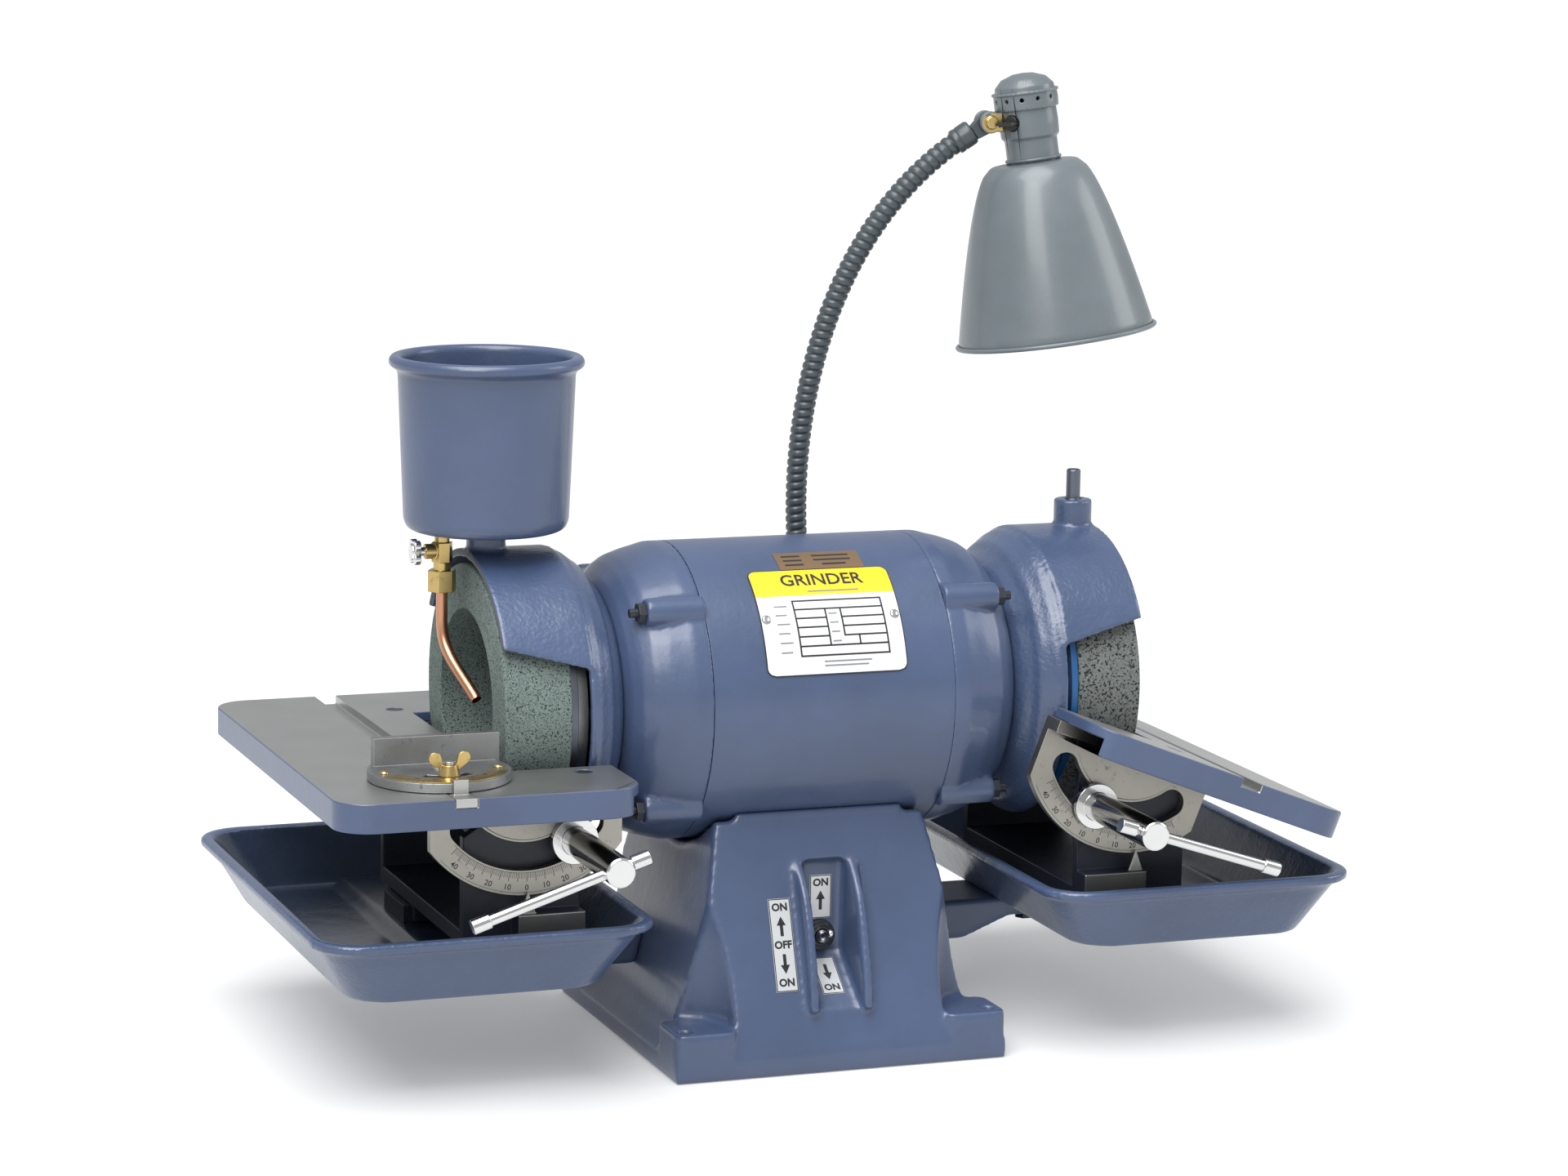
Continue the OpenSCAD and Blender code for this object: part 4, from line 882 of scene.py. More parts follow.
@dataclass
class Castings:
    """The castings, the fasteners and the inner pieces, with the rounding of a machined edge."""

    fine: float = 0.35
    tray_middle: tuple[float, float] = (209.5, 17.5)
    tray_rim: float = 96.3

    def inside(self, centres: np.ndarray, normals: np.ndarray) -> np.ndarray:
        """The faces inside a tray: below its rim, and facing up or towards its middle."""
        middle = np.array(self.tray_middle) * (np.sign(centres[0, 0]), 1.0)
        inward = ((middle - centres[:, :2]) * normals[:, :2]).sum(1) > 0
        up = normals[:, 2]
        return (centres[:, 2] < self.tray_rim) & ((up > 0.3) | (inward & (up > -0.2)))

    def build(self) -> None:
        """Rounds and dresses the castings, the fasteners and the hidden inner pieces."""
        cast("base_pedestal", 1.8, 5, nothing, Finish.BLUE)
        cast("tray_arms", 1.8, 5, nothing, Finish.BLUE)
        cast("lamp_bracket", 1.0, 6, nothing, Finish.BLUE)
        for name in ("left", "right"):
            cast(f"{name}_end_bell", 1.3, 7, seam, Finish.BLUE)
            hood = cast(f"{name}_hood", 1.2, 6, nothing, Finish.BLUE_ROUGH, Finish.RAW_EDGE)
            centres, normals = face_table(hood)
            paint(hood, (np.abs(centres[:, 0]) > 188.0) & (np.abs(normals[:, 0]) > 0.9))
            tray = cast(f"{name}_tray", 1.7, 8, nothing, Finish.BLUE_ROUGH, Finish.BLUE_WET)
            # The tray's inner faces take the darker blue: painted shade in its hollow.
            paint(tray, self.inside(*face_table(tray)))
        rounded("motor_shell", 0.3, Finish.BLUE)
        plain = {
            "end_bell_studs": Finish.BLACK_STEEL,
            "hood_screws": Finish.BLACK_STEEL,
            "tray_bolts": Finish.BLACK_STEEL,
            "wheel_fasteners": Finish.BLACK_STEEL,
            "switch_collar": Finish.BLACK_STEEL,
            "switch_body": Finish.BLACK,
            "power_gland": Finish.BLACK,
            "slide_ways": Finish.IRON,
            "hood_pins": Finish.DARK_STEEL,
            "wheel_flanges": Finish.ZINC,
            "switch_plates": Finish.SILVER_FOIL,
            "toggle_lever": Finish.CHROME,
            "left_clamp_hub": Finish.CHROME,
            "right_clamp_hub": Finish.CHROME,
            "left_clamp_bar": Finish.CHROME,
            "right_clamp_bar": Finish.CHROME,
            "valve_handle": Finish.CHROME,
            "coolant_valve": Finish.BRASS,
            "gauge_wing_nut": Finish.BRASS,
            "gauge_bar": Finish.GROUND,
            "gauge_head": Finish.FENCE,
            "lamp_key": Finish.BLACK,
            "base_cover": Finish.ZINC,
            "base_fasteners": Finish.ZINC,
        }
        backings = rounded("wheel_backings", self.fine, Finish.BACKING, Finish.DARK_STEEL)
        paint(backings, face_table(backings)[0][:, 0] < 0)
        small = {"switch_plates": 0.08, "valve_handle": 0.5, "gauge_wing_nut": 0.3, "lamp_key": 0.5}
        for node, finish in plain.items():
            rounded(node, small.get(node, self.fine), finish)
        inner = {
            "shaft": Finish.BEARING,
            "bearing_inners": Finish.BEARING,
            "bearing_outers": Finish.BEARING,
            "rotor_core": Finish.LAMINATED,
            "stator_core": Finish.LAMINATED,
            "stator_windings": Finish.WIRE,
            "cooling_fan": Finish.ALUMINIUM,
            "capacitor": Finish.BLACK,
            "lamp_bulb": Finish.BULB,
        }
        for node, finish in inner.items():
            self.recolour(node, finish)

    @staticmethod
    def recolour(node: str, finish: Finish) -> None:
        """Gives a CAD node that stays as it is a better material."""
        mesh = frame["nodes"][node].data
        mesh.materials.clear()
        mesh.materials.append(finish.material)


@dataclass
class Wheels:
    """The two grinding wheels."""

    def build(self) -> None:
        """Rounds the wheels' edges and gives each its own grit."""
        rounded("left_wheel", 0.9, Finish.GREEN_WHEEL)
        rounded("right_wheel", 0.9, Finish.GREY_WHEEL)


@dataclass
class MotorPlates:
    """The printed plate and the foil sticker on the motor shell."""

    axis_z: float = 200.0
    shell_r: float = 84.0
    plate_x: tuple[float, float] = (-40.0, 43.0)
    plate_a: tuple[float, float] = (13.7, 59.0)
    thick: float = 0.6
    corner: float = 5.0
    header_a: float = 45.8
    table_x: tuple[float, float] = (-19.0, 33.0)
    table_a: tuple[float, float] = (21.0, 43.3)
    rows: int = 6
    line: float = 0.95

    def on_shell(self, pts: np.ndarray) -> np.ndarray:
        """Wraps (x, length round the shell, height) on the shell: the angle is the length over the shell's radius, and the
        point is (x, -r cos angle, axis + r sin angle) with r the shell's radius plus the height."""
        angle = pts[..., 1] / self.shell_r
        r = self.shell_r + pts[..., 2]
        return np.stack([pts[..., 0], -r * np.cos(angle), self.axis_z + r * np.sin(angle)], -1)

    def arc(self, degrees: float) -> float:
        """Length round the shell up to an angle."""
        return math.radians(degrees) * self.shell_r

    def patch(self, x: Sequence[float], a: Sequence[float], low: float, high: float, r: Sequence[float] = (0, 0)) -> np.ndarray:
        """A slab on the shell with rounded corners: across each row it reaches from x0 + inset to x1 - inset, and the inset
        near an end is r - sqrt(r^2 - (r - d)^2), with d the distance to that end.

        Args:
            x: Its left and right edges.
            a: Its lower and upper edges, as angles.
            low: Height of its underside above the shell.
            high: Height of its face.
            r: Corner radius at the lower and at the upper edge.

        Returns:
            Rows of four points each.
        """
        v0, v1 = self.arc(a[0]), self.arc(a[1])
        v = np.linspace(0, 1, 61) * (v1 - v0)
        ends = [np.clip(r[0] - v, 0, None), np.clip(r[1] - (v[-1] - v), 0, None)]
        inset = sum(q - np.sqrt(np.clip(q**2 - e**2, 0, None)) for q, e in zip(r, ends))
        left, right, v = x[0] + inset, x[1] - inset, v + v0
        ring = [(left, low), (right, low), (right, high), (left, high)]
        return np.stack([self.on_shell(np.stack([u, v, np.full_like(v, h)], -1)) for u, h in ring], 1)

    def piece(self, name: str, slabs: Sequence[np.ndarray], finish: Finish, slot: str) -> bpy.types.Object:
        """One dressed piece from several slabs."""
        parts = [surface(f"{name}_{k}", slab, caps=True, smooth=20.0) for k, slab in enumerate(slabs)]
        return dress(joined(name, parts), "frame", slot, finish)

    def build(self) -> None:
        """Builds the plate, its print, its rivets and the sticker."""
        x, a, t, c = self.plate_x, self.plate_a, self.thick, self.corner
        border = 0.55
        deg = math.degrees(border / self.shell_r)
        back = self.piece("nameplate_edge", [self.patch(x, a, 0, t, (c, c))], Finish.BLACK_INK, "plate_white")
        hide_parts("nameplate")
        inner_x, inner_a = (x[0] + border, x[1] - border), (a[0] + deg, a[1] - deg)
        ci = c - border
        top = t + 0.05
        white = self.patch(inner_x, (inner_a[0], self.header_a), t - 0.1, top, (ci, 0))
        self.piece("nameplate_white", [white], Finish.WHITE_PLATE, "plate_white")
        yellow = self.patch(inner_x, (self.header_a, inner_a[1]), t - 0.1, top, (0, ci))
        self.piece("nameplate_header", [yellow], Finish.YELLOW_INK, "plate_white")
        self.piece("nameplate_table", self.table_lines(top), Finish.BLACK_INK, "plate_white")
        self.piece("nameplate_marks", self.label_marks(top), Finish.GREY_INK, "plate_white")
        self.title(top)
        rivets = [self.rivet(rx, 36.0) for rx in (x[0] + 3.6, x[1] - 3.6)]
        dress(joined("nameplate_rivets", rivets), "frame", "zinc_steel", Finish.ZINC)
        foil = self.patch((-19, 31), (59.4, 70.5), 0, 0.3, (0.8, 0.8))
        sticker = self.piece("foil_sticker", [foil], Finish.COPPER_FOIL, "plate_copper")
        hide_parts("rating_sticker")
        bars = [self.patch((bx, bx + w), (ba, ba + 1.0), 0.25, 0.36) for bx, w, ba in self.sticker_bars()]
        self.piece("foil_print", bars, Finish.BLACK_INK, "plate_copper")

    @staticmethod
    def sticker_bars() -> list[tuple[float, float, float]]:
        """Left edge, width and angle of the plain bars printed on the sticker."""
        return [(3.0, 22.0, 67.2), (3.0, 22.0, 64.4), (7.0, 14.0, 61.6), (-15.0, 11.0, 67.2), (-15.0, 11.0, 64.4), (-15.0, 11.0, 61.6)]

    def table_lines(self, top: float) -> list[np.ndarray]:
        """The black ruled table: its frame, its full rows and its short rows.

        Args:
            top: Height of the plate's face above the shell.

        Returns:
            One slab for each line.
        """
        (x0, x1), (a0, a1), w = self.table_x, self.table_a, self.line
        half = math.degrees(w / 2 / self.shell_r)
        levels = np.linspace(a0, a1, self.rows + 1)
        step = (a1 - a0) / self.rows
        left_end, mid, right_start = -1.0, 3.5, 8.0
        spans = [(x0, x1, levels[k]) for k in (0, 1, 5, 6)]
        spans += [(x0, left_end, levels[k]) for k in (2, 3, 4)]
        spans += [(right_start, x1, levels[k]) for k in (2, 3, 4)]
        lines = [self.patch((s0 - w / 2, s1 + w / 2), (lv - half, lv + half), top - 0.05, top + 0.12) for s0, s1, lv in spans]
        uprights = [(x0, a0, a1), (x1, a0, a1), (left_end, a0 + step, a1 - step), (right_start, a0 + 2 * step, a1 - step)]
        uprights += [(mid + 13.0, a0 + step, a0 + 2 * step)]
        lines += [self.patch((u - w / 2, u + w / 2), (b, e), top - 0.05, top + 0.12) for u, b, e in uprights]
        return lines

    def label_marks(self, top: float) -> list[np.ndarray]:
        """Short grey dashes where the small labels stand.

        Args:
            top: Height of the plate's face above the shell.

        Returns:
            One slab for each dash.
        """
        levels = np.linspace(self.table_a[0], self.table_a[1], self.rows + 1)
        marks = [(-30.5, -24.0 + (k % 2), lv + 1.3) for k, lv in enumerate(levels[:-1])]
        marks += [(0.6, 5.5, lv + 1.3) for lv in levels[1:5]]
        marks += [(-6.0, 22.0, 18.4), (-6.0, 20.0, 16.8), (-8.0, 22.0, 47.3)]
        return [self.patch((x0, x1), (lv, lv + 0.55), top - 0.05, top + 0.12) for x0, x1, lv in marks]

    def title(self, top: float) -> None:
        """The plain word in the header, laid flat and then wrapped on the shell like the rest.

        Args:
            top: Height of the plate's face above the shell.
        """
        middle = self.arc((self.header_a + self.plate_a[1]) / 2 + 0.6)
        obj = words("nameplate_title", "GRINDER", 11.5, Matrix.Translation((2.0, middle, top + 0.06)), 0.12, 0.16)
        co = np.empty(len(obj.data.vertices) * 3)
        obj.data.vertices.foreach_get("co", co)
        wrapped = self.on_shell(co.reshape(-1, 3) / MM) * MM
        obj.data.vertices.foreach_set("co", wrapped.ravel())
        obj.data.update()
        dress(obj, "frame", "plate_white", Finish.BLACK_INK)

    def rivet(self, x: float, degrees: float) -> bpy.types.Object:
        """A drive rivet with a domed, slotted-looking head.

        Args:
            x: Its place along the shell.
            degrees: Its angle.

        Returns:
            The rivet.
        """
        a = math.radians(degrees)
        out = (0, -math.cos(a), math.sin(a))
        up = (0, math.sin(a), math.cos(a))
        seat = placed((x, self.shell_r * out[1], self.axis_z + self.shell_r * out[2]), (1, 0, 0), up)
        profile = np.array([[0, 0.3], [2.7, 0.3], [2.7, 0.9], [2.3, 1.4], [1.5, 1.7], [1.1, 1.45], [0, 1.45]])
        return lathe(f"rivet_{x:.0f}", softened(profile, 0.3, 4, closed=False), seat, 32, loop=False)


@dataclass
class SwitchPanel:
    """Print on the three switch plates."""

    ink: float = 0.06
    face_y: float = -64.4
    panel_low: float = 58.6
    slope: float = 0.36

    def planes(self) -> dict[str, Matrix]:
        """The plates' faces, each with its origin at the plate's middle."""
        front = placed((0, self.face_y, 90.0), (1, 0, 0), (0, 0, 1))
        tilt = math.atan2(-32.76, 24.6)
        up = (0, -math.sin(tilt), math.cos(tilt))
        out = (0, -math.cos(tilt), -math.sin(tilt))
        middle = np.array([0, -64.0, self.panel_low]) - 18.0 * np.array(up) + 0.4 * np.array(out)
        low = placed(middle, (1, 0, 0), up)
        lean = -math.atan(self.slope)
        tall_up = (0, -math.sin(lean), math.cos(lean))
        tall_out = np.array([0, -math.cos(lean), -math.sin(lean)])
        tall_mid = np.array([-29.5, -(61 + 66 * self.slope), 69.0]) + 0.4 * tall_out
        return {"front": front, "low": low, "tall": placed(tall_mid, (1, 0, 0), tall_up)}

    @staticmethod
    def arrow(v: float, way: int, length: float = 11.0) -> list[np.ndarray]:
        """An arrow: a head on a stem.

        Args:
            v: Height of its middle on the plate.
            way: 1 for up and -1 for down.
            length: Its whole length.

        Returns:
            Its outlines.
        """
        h = length / 2
        head = np.array([[-2.7, h - 5.0], [2.7, h - 5.0], [0, h]]) * (1, way)
        stem = np.array([[-0.95, -h], [0.95, -h], [0.95, h - 4.6], [-0.95, h - 4.6]]) * (1, way)
        return [head + (0, v), stem + (0, v)]

    def frame_lines(self, half: tuple[float, float]) -> list[np.ndarray]:
        """A thin line round a plate, as four bars."""
        (w, h), t = half, 0.5
        bars = [(-w, w, -h, -h + t), (-w, w, h - t, h), (-w, -w + t, -h, h), (w - t, w, -h, h)]
        return [np.array([[a, c], [b, c], [b, d], [a, d]]) for a, b, c, d in bars]

    def build(self) -> None:
        """Prints the words, the arrows and the borders."""
        planes = self.planes()
        jobs = {
            "front": ([("ON", 8.0)], [(-2.0, 1)], (6.3, 12.3)),
            "low": ([("ON", -8.5)], [(2.5, -1)], (6.3, 12.8)),
            "tall": ([("ON", 21.0), ("OFF", 0.0), ("ON", -21.0)], [(10.5, 1), (-10.5, -1)], (6.3, 25.8)),
        }
        parts = []
        for key, (texts, arrows, half) in jobs.items():
            plane = planes[key]
            outlines = [o for v, way in arrows for o in self.arrow(v, way)] + self.frame_lines(half)
            parts.append(prisms(f"marks_{key}", outlines, -0.02, self.ink, on_plane(plane)))
            for text, v in texts:
                place = plane @ Matrix.Translation((0, v, self.ink / 2))
                parts.append(words(f"word_{key}_{v:.0f}", text, 5.8, place, self.ink, 0.24))
        dress(joined("switch_print", parts), "frame", "plate_silver", Finish.BLACK_INK)


@dataclass
class WorkTable:
    """One tilting table with its trunnion scales."""

    side: int
    tilt: float
    body: str
    pivot: tuple[float, float, float] = (180.0, 0.0, 177.0)
    thick: float = 6.0
    scale_y: float = -90.5
    tick_r: tuple[float, float, float] = (55.2, 58.4, 60.2)
    number_r: float = 63.6

    @property
    def name(self) -> str:
        """Left or right."""
        return "left" if self.side < 0 else "right"

    def place(self) -> Matrix:
        """Carries a level right-hand table's shapes to this table's rest position."""
        p = Vector((self.side * self.pivot[0], 0, self.pivot[2]))
        turn = Matrix.Rotation(math.radians(self.tilt * self.side), 4, "Y")
        return Matrix.Translation(p) @ turn

    def build(self) -> None:
        """Dresses the table, the trunnions, the bracket and the scales."""
        table = rounded(f"{self.name}_table", 0.9, Finish.BLUE, Finish.GROUND)
        centres, normals = face_table(table)
        inverse = np.array(self.place().inverted())
        local = centres @ inverse[:3, :3].T + inverse[:3, 3]
        facing = normals @ inverse[:3, :3].T
        top = (facing[:, 2] > 0.9) & (local[:, 2] > -5.5)
        slot_x = self.side * 50.0
        in_slot = (np.abs(local[:, 0] - slot_x) < 6.3) & (local[:, 2] > -5.2)
        paint(table, top | in_slot)
        trunnions = rounded(f"{self.name}_trunnions", 0.4, Finish.NICKEL, Finish.BLACK_STEEL)
        centres, normals = face_table(trunnions)
        local = centres @ inverse[:3, :3].T + inverse[:3, 3]
        paint(trunnions, local[:, 2] > -5.6)
        bracket = rounded(f"{self.name}_bracket", 0.8, Finish.IRON, Finish.ZINC)
        centres, _ = face_table(bracket)
        paint(bracket, (centres[:, 1] < -91.5) | (centres[:, 1] > 90.6))
        self.scale()

    def scale(self) -> None:
        """The degree scale on the front trunnion: a tick at angle d is a bar from one radius to another on the line
        (sin d, -cos d) from the pivot."""
        warp = on_plane(self.place() @ placed((0, self.scale_y, 0), (1, 0, 0), (0, 0, 1)))
        d = np.radians(np.arange(-45, 46))
        long = np.arange(-45, 46) % 5 == 0
        radial = np.stack([np.sin(d), -np.cos(d)], -1)
        across = np.stack([np.cos(d), np.sin(d)], -1)
        r0, r1 = self.tick_r[0], np.where(long, self.tick_r[2], self.tick_r[1])[:, None]
        w = np.where(long, 0.17, 0.11)[:, None]
        corners = np.stack([radial * r0 - across * w, radial * r0 + across * w, radial * r1 + across * w, radial * r1 - across * w], 1)
        parts = [prisms("ticks", list(corners), -0.05, 0.05, warp)]
        for degrees in range(-40, 41, 10):
            a = math.radians(degrees)
            local = Matrix.Translation((self.number_r * math.sin(a), -self.number_r * math.cos(a), 0)) @ Matrix.Rotation(a, 4, "Z")
            plane = self.place() @ placed((0, self.scale_y, 0), (1, 0, 0), (0, 0, 1)) @ local
            parts.append(words(f"number_{degrees}", str(abs(degrees)), 4.4, plane, 0.08, 0.05))
        edge = self.rings()
        dress(joined(f"{self.name}_scale", parts + [edge]), self.body, "black_plastic", Finish.BLACK_INK)

    def rings(self) -> bpy.types.Object:
        """Two fine scribed arcs under the ticks, each a thin band of constant radius."""
        warp = on_plane(self.place() @ placed((0, self.scale_y, 0), (1, 0, 0), (0, 0, 1)))
        d = np.radians(np.linspace(-47, 47, 95))
        bands = []
        for r in (self.tick_r[0], 66.2):
            inner = np.stack([r * np.sin(d), -r * np.cos(d)], -1)
            outer = np.stack([(r + 0.22) * np.sin(d), -(r + 0.22) * np.cos(d)], -1)
            quads = np.stack([inner[:-1], inner[1:], outer[1:], outer[:-1]], 1)
            bands += list(quads)
        return prisms("arcs", bands, -0.05, 0.04, warp)


@dataclass
class MitreGauge:
    """Scale and rivets of the mitre gauge."""

    x: float = -230.0
    y: float = -93.0
    z: float = 177.4
    thick: float = 5.0
    r: float = 38.5

    def build(self) -> None:
        """Adds the brass arc, its ticks and its rivets to the gauge head."""
        top = self.z + self.thick
        d = np.radians(np.linspace(202, 338, 69))
        inner = np.stack([self.x + 26.5 * np.cos(d), self.y + 26.5 * np.sin(d)], -1)
        outer = np.stack([self.x + 36.6 * np.cos(d), self.y + 36.6 * np.sin(d)], -1)
        arc = prisms("gauge_arc", [np.vstack([inner, outer[::-1]])], top - 0.1, top + 0.5, lambda p: p)
        dress(arc, "gauge_swing", "brass", Finish.BRASS)
        t = np.radians(np.arange(210, 331, 5))
        radial, across = np.stack([np.cos(t), np.sin(t)], -1), np.stack([-np.sin(t), np.cos(t)], -1)
        c = np.array([self.x, self.y])
        w, r0, r1 = 0.16, 32.0, 36.0
        ticks = np.stack(
            [c + radial * r0 - across * w, c + radial * r0 + across * w, c + radial * r1 + across * w, c + radial * r1 - across * w], 1
        )
        parts = [prisms("gauge_ticks", list(ticks), top + 0.45, top + 0.56, lambda p: p)]
        for degrees in (230, 250, 270, 290, 310):
            a = math.radians(degrees)
            spot = Matrix.Translation((self.x + 29.2 * math.cos(a), self.y + 29.2 * math.sin(a), top + 0.52))
            parts.append(words(f"gauge_number_{degrees}", str(abs(degrees - 270)), 3.0, spot @ Matrix.Rotation(a + math.pi / 2, 4, "Z"), 0.06))
        dress(joined("gauge_print", parts), "gauge_swing", "black_plastic", Finish.BLACK_INK)
        dome = np.array([[0, 0], [2.6, 0], [2.5, 0.7], [1.8, 1.4], [0.9, 1.75], [0, 1.85]])
        rivets = [
            lathe(f"gauge_rivet_{k}", softened(dome, 0.4, 4, False), Matrix.Translation((self.x + rx, self.y + ry, top)), 32, False)
            for k, (rx, ry) in enumerate([(-31.5, -4.5), (31.5, -4.5)])
        ]
        dress(joined("gauge_rivets", rivets), "gauge_swing", "brass", Finish.BRASS)


@dataclass
class WaterPot:
    """The coolant pot with its rolled rim, and the copper tube."""

    x: float = -176.8
    z: float = 295.3
    r: float = 49.0
    h: float = 97.0
    wall: float = 3.0
    hub_top: float = 26.0
    tube_r: float = 3.2
    bore_r: float = 2.2

    def build(self) -> None:
        """Builds the pot as one turned wall and the tube as a bent pipe."""
        r, rb, h, w, top = self.r, self.r - 3.3, self.h, self.wall, self.hub_top
        outline = [
            (11.4, 0), (rb - 6, 0), (rb - 2, 1.7), (rb, 6), (r, h - 9), (r + 2.4, h - 7), (r + 4.6, h - 5.6),
            (r + 4.9, h - 2.6), (r + 3, h - 0.1), (r - 0.5, h - 0.1), (r - w + 0.4, h - 2), (r - w, h - 9),
            (rb - w, 10), (rb - w - 3, 4.5), (rb - 10, 3.5), (17, 3.5), (15, 5.5), (14.3, top - 2), (12.8, top),
            (0, top), (0, top - 3), (11.4, top - 3),
        ]
        pot = lathe("water_pot_look", softened(outline, 2.2, 6), Matrix.Translation((self.x, 0, self.z)), 128)
        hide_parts("water_pot")
        dress(pot, "pot", "blue_enamel", Finish.BLUE)
        self.tube()

    def tube(self) -> None:
        """The copper tube: a pipe swept down from the valve and round to the wheel, with a wall and an open end."""
        x = -202.0
        bend = [(x, 0, self.z - 48), (x, 0, self.z - 68), (x + 4, -12, self.z - 72), (-191, -31, 206)]
        down = np.linspace((x, 0, self.z - 24), bend[0], 8)
        path, _ = evenly(np.vstack([down[:-1], bezier(bend, np.linspace(0, 1, 60))]), 1.2)
        outside = np.full(len(path), self.tube_r)
        outside[-1] -= 0.35
        outer = swept(path, outside, (1, 0, 0), 32)
        inner = swept(path, np.full(len(path), self.bore_r), (1, 0, 0), 32)[::-1]
        obj = surface("copper_tube_look", np.vstack([outer, inner]), wrap_rows=True)
        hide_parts("copper_tube")
        dress(obj, "pot", "copper", Finish.COPPER)


@dataclass
class Gooseneck:
    """The flexible neck: a helically wound tube, made as one mesh in its rest shape."""

    foot: tuple[float, float, float] = (42.0, 95.0, 206.3)
    curve: tuple = ((42.0, 95.0, 270.0), (36.0, 93.0, 365.0), (60.0, 73.0, 462.0), (131.0, 52.5, 508.0))
    side: tuple[float, float, float] = (0.431, 0.902, 0.0)
    r: float = 6.25
    pitch: float = 4.8
    groove: float = 0.95
    end_t: float = 0.97
    joint: tuple[float, float, float] = (139.0, 50.3, 513.3)
    sides: int = 32

    def build(self) -> None:
        """Builds the wound tube, the ferrule and the knuckle's tongue."""
        t = np.linspace(0, self.end_t + 0.005, 200)
        rise = np.linspace(self.foot, self.curve[0], 20)
        path, s = evenly(np.vstack([rise[:-1], bezier(self.curve, t)]), self.pitch / 9)
        turn = np.linspace(0, 1, self.sides, endpoint=False)
        phase = s[:, None] / self.pitch - turn[None, :]
        cut = np.abs(np.cos(np.pi * phase)) ** 7
        free = np.clip((s - 14) / 6, 0, 1)[:, None]
        radius = self.r - self.groove * cut * free
        neck = surface("gooseneck", swept(path, radius, self.side, self.sides), caps=True, smooth=60.0)
        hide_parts("gooseneck_lower", "gooseneck_upper")
        neck.data.materials.append(Finish.DARK_GREY.material)
        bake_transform(neck)
        self.ferrule()

    def ferrule(self) -> None:
        """The sleeve on the neck's end and the flat tongue that the lamp turns on."""
        two = bezier(self.curve, np.array([self.end_t - 0.01, self.end_t]))
        d = Vector(two[1] - two[0]).normalized()
        right = d.cross(Vector((0, 1, 0))).normalized()
        seat = placed(two[1] - np.array(d) * 5.0, right, d.cross(right))
        profile = np.array(
            [[0, 0], [6.9, 0], [7.4, 0.8], [7.4, 3.2], [6.9, 3.8], [7.4, 4.4], [7.4, 11.0], [6.4, 12.4], [0, 12.4]]
        )
        sleeve = lathe("neck_ferrule", softened(profile, 0.6, 4, False), seat, 64, loop=False)
        dress(sleeve, "neck_top", "grey_enamel", Finish.DARK_GREY)
        angle = math.atan2(d[2], d[0])
        round_end = np.linspace(angle - math.pi / 2, angle + math.pi / 2, 25)
        end = np.stack([6.2 * np.cos(round_end), 6.2 * np.sin(round_end)], -1)
        back = np.array([d[0], d[2]]) * -11.0
        n = np.array([-d[2], d[0]]) * 4.2
        outline = np.vstack([end, [back + n, back - n]]) + (self.joint[0], self.joint[2])
        y = self.joint[1]
        tongue = prisms("neck_tongue", [outline], -2.5, 2.5, lambda p: np.stack([p[..., 0], y + p[..., 2], p[..., 1]], -1))
        dress(tongue, "neck_top", "grey_enamel", Finish.DARK_GREY)


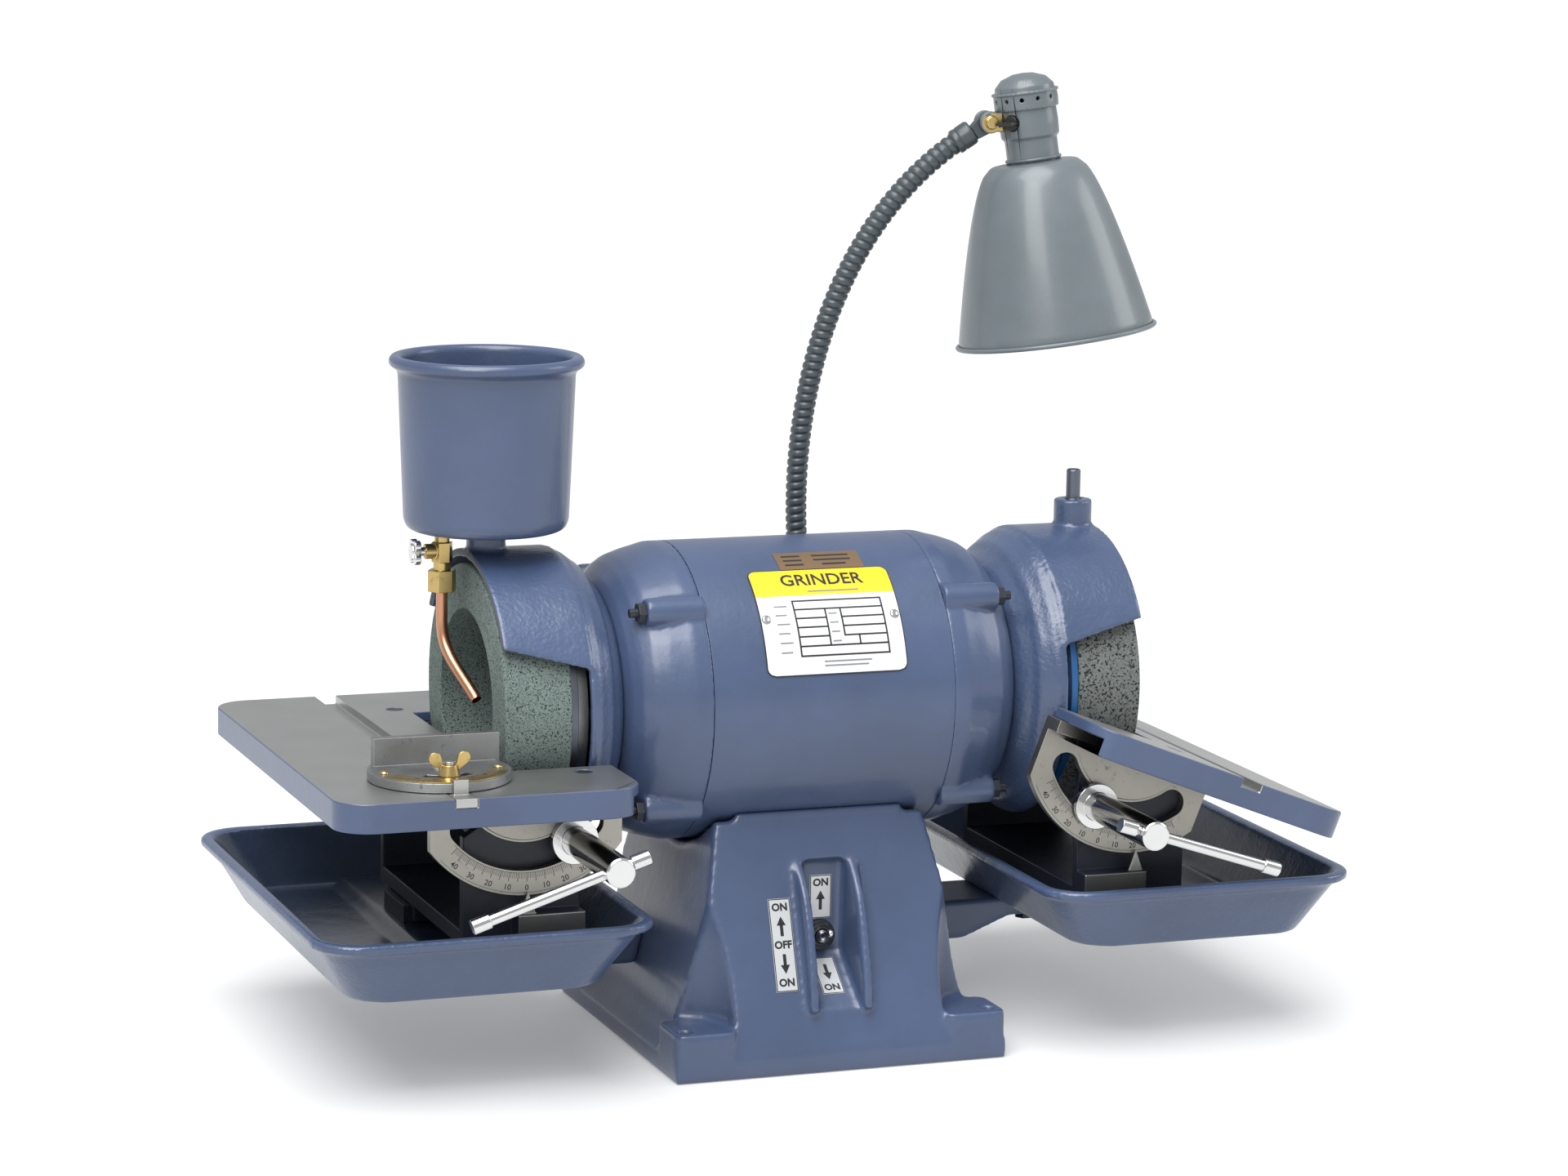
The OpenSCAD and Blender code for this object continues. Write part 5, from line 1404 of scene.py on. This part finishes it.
@dataclass
class Lamp:
    """The lamp's shade, socket and joint."""

    seat: tuple[float, float, float] = (167.6, 48.0, 490.5)
    turn: tuple[float, float] = (-4.0, -7.8)
    joint: tuple[float, float, float] = (139.0, 50.3, 513.3)
    top_r: float = 27.5
    rim_r: float = 58.5
    height: float = 104.0
    bulge: float = 0.66

    def place(self) -> Matrix:
        """Where the lamp's own axis stands."""
        return (
            Matrix.Translation(self.seat)
            @ Matrix.Rotation(math.radians(self.turn[1]), 4, "Y")
            @ Matrix.Rotation(math.radians(self.turn[0]), 4, "X")
        )

    def build(self) -> None:
        """Builds the shade and the socket's bead rings, and dresses the rest."""
        self.shade()
        socket = rounded("lamp_socket", 0.6, Finish.GREY, Finish.BRASS)
        centres, _ = face_table(socket)
        off = centres - np.array(self.joint)
        on_axis = np.hypot(off[:, 0], off[:, 2]) < 3.9
        paint(socket, on_axis & ((np.abs(off[:, 1]) > 5.9) | (np.hypot(off[:, 0], off[:, 2]) < 2.4)))
        self.beads()

    def shade(self) -> None:
        """The spun shade: its radius at a share s of its height is the top radius plus the rest times s^0.66, and its foot is
        rolled outwards round a wire."""
        s = np.linspace(0, 1, 40)
        r = self.top_r + (self.rim_r - self.top_r - 1.2) * s**self.bulge
        z = -3 - (self.height - 5.2) * s
        wall = 1.0
        roll = np.linspace(math.pi * 0.9, -math.pi * 0.9, 15)
        rim = np.stack([r[-1] + 0.5 + 1.35 * np.cos(roll), z[-1] - 0.6 + 1.35 * np.sin(roll)], -1)
        neck = softened([(15.9, -0.1), (25.0, -0.6), (r[0], z[0])], 3.0, 6, False)
        lid = softened([(r[0] - wall, z[0] - 0.4), (24.4, -1.7), (15.9, -1.2)], 2.5, 6, False)
        outer = np.stack([r, z], -1)
        inner = np.stack([r - wall, z], -1)
        profile = np.vstack([neck[:-1], outer[:-1], rim, inner[::-1][1:-1], lid])
        obj = lathe("lamp_shade_look", profile, self.place(), 128)
        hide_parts("lamp_shade")
        dress(obj, "lamp_head", "grey_enamel", Finish.GREY)

    def beads(self) -> None:
        """Two beaded rings on the socket's cap: the radius round a ring swells with |cos| of many times the angle."""
        a = np.linspace(0, 2 * np.pi, 240, endpoint=False)
        section = np.linspace(0, 2 * np.pi, 12, endpoint=False)
        parts = []
        for k, (radius, z, size) in enumerate([(17.6, 31.6, 1.1), (18.6, 40.4, 1.0), (15.6, 1.6, 0.9)]):
            swell = size * (0.75 + 0.25 * np.abs(np.cos(20 * a))) if k < 2 else np.full_like(a, size)
            rr = radius + swell[:, None] * np.cos(section)[None, :]
            zz = z + swell[:, None] * np.sin(section)[None, :]
            pts = np.stack([rr * np.cos(a)[:, None], rr * np.sin(a)[:, None], zz], -1)
            parts.append(surface(f"bead_{k}", turned(pts, self.place()), wrap_rows=True, smooth=60.0))
        dress(joined("socket_beads", parts), "lamp_head", "grey_enamel", Finish.GREY)


# ---------- studio ----------


@dataclass
class Studio:
    """Pale floor, soft light and the camera."""

    azimuth: float = -20.51
    elevation: float = 9.73
    roll: float = 0.94
    target: tuple[float, float, float] = (-11.94, -30.04, 260.04)
    distance: float = 2547.93
    lens: float = 104.54
    floor_size: float = 60.0

    def build(self) -> None:
        """Makes the floor, the lights and the camera."""
        self.floor()
        self.light("key", (-1.3, -1.7, 1.9), 1.3, 34.0)
        self.light("side", (2.0, -0.5, 1.2), 1.0, 12.0)
        self.sun()
        world = bpy.data.worlds.new("studio")
        world.use_nodes = True
        sky = world.node_tree.nodes["Background"]
        sky.inputs["Color"].default_value = (0.95, 0.97, 1.0, 1.0)
        sky.inputs["Strength"].default_value = 0.55
        bpy.context.scene.world = world
        bpy.context.scene.view_settings.view_transform = "Standard"
        self.camera()

    def floor(self) -> None:
        """A wide pale floor, slightly below the machine's foot."""
        half, n = self.floor_size / 2 / MM, 25
        line = np.linspace(-half, half, n)
        x, y = np.meshgrid(line, line, indexing="ij")
        pts = np.stack([x, y, np.full_like(x, -0.3)], -1)
        obj = mesh_of("floor", pts.reshape(-1, 3), grid_faces(n, n, False, False, False))
        r = Recipe("floor")
        tone = r.mix(r.noise(3, 2), (0.50, 0.505, 0.505), (0.53, 0.535, 0.535))
        white = (1.0, 1.0, 1.0)
        paper = r.finish(Base_Color=tone, Roughness=0.75, Emission_Color=white, Emission_Strength=0.24)
        obj.data.materials.append(paper)

    def sun(self) -> None:
        """A wide, even light from above that keeps the floor pale."""
        data = bpy.data.lights.new("overhead", "SUN")
        data.energy, data.angle = 3.6, math.radians(50)
        obj = bpy.data.objects.new("overhead", data)
        obj.rotation_euler = Vector((0.25, 0.30, -1.0)).to_track_quat("-Z", "Y").to_euler()
        bpy.context.scene.collection.objects.link(obj)

    def light(self, name: str, where: Sequence[float], size: float, power: float) -> None:
        """One square soft box that faces the machine.

        Args:
            name: Its name.
            where: Its place in metres.
            size: Its side in metres.
            power: Its power in watts.
        """
        data = bpy.data.lights.new(name, "AREA")
        data.size, data.energy = size, power
        obj = bpy.data.objects.new(name, data)
        obj.location = where
        aim = Vector((0, 0, 0.25)) - Vector(where)
        obj.rotation_euler = aim.to_track_quat("-Z", "Y").to_euler()
        bpy.context.scene.collection.objects.link(obj)

    def camera(self) -> None:
        """The camera: it looks at the target from an azimuth and an elevation, and is rolled a little."""
        a, e, q = (math.radians(v) for v in (self.azimuth, self.elevation, self.roll))
        back = Vector((math.sin(a) * math.cos(e), -math.cos(a) * math.cos(e), math.sin(e)))
        right = Vector((math.cos(a), math.sin(a), 0))
        up = back.cross(right)
        right, up = right * math.cos(q) + up * math.sin(q), up * math.cos(q) - right * math.sin(q)
        eye = (Vector(self.target) + back * self.distance) * MM
        data = bpy.data.cameras.new("camera")
        data.lens, data.sensor_width = self.lens, 36.0
        data.clip_start, data.clip_end = 0.1, 200.0
        obj = bpy.data.objects.new("camera", data)
        obj.matrix_world = Matrix.Translation(eye) @ Matrix((right, up, back)).transposed().to_4x4()
        bpy.context.scene.collection.objects.link(obj)
        bpy.context.scene.camera = obj


def main() -> None:
    """Builds every sub-assembly in order."""
    logging.basicConfig(level=logging.INFO, format="%(name)s: %(message)s")
    Studio().build()
    Castings().build()
    Wheels().build()
    MotorPlates().build()
    SwitchPanel().build()
    WorkTable(-1, 0.0, "left_rest").build()
    WorkTable(1, 21.0, "right_rest").build()
    MitreGauge().build()
    WaterPot().build()
    Gooseneck().build()
    Lamp().build()
    bpy.context.view_layer.update()


if __name__ == "__main__":
    main()
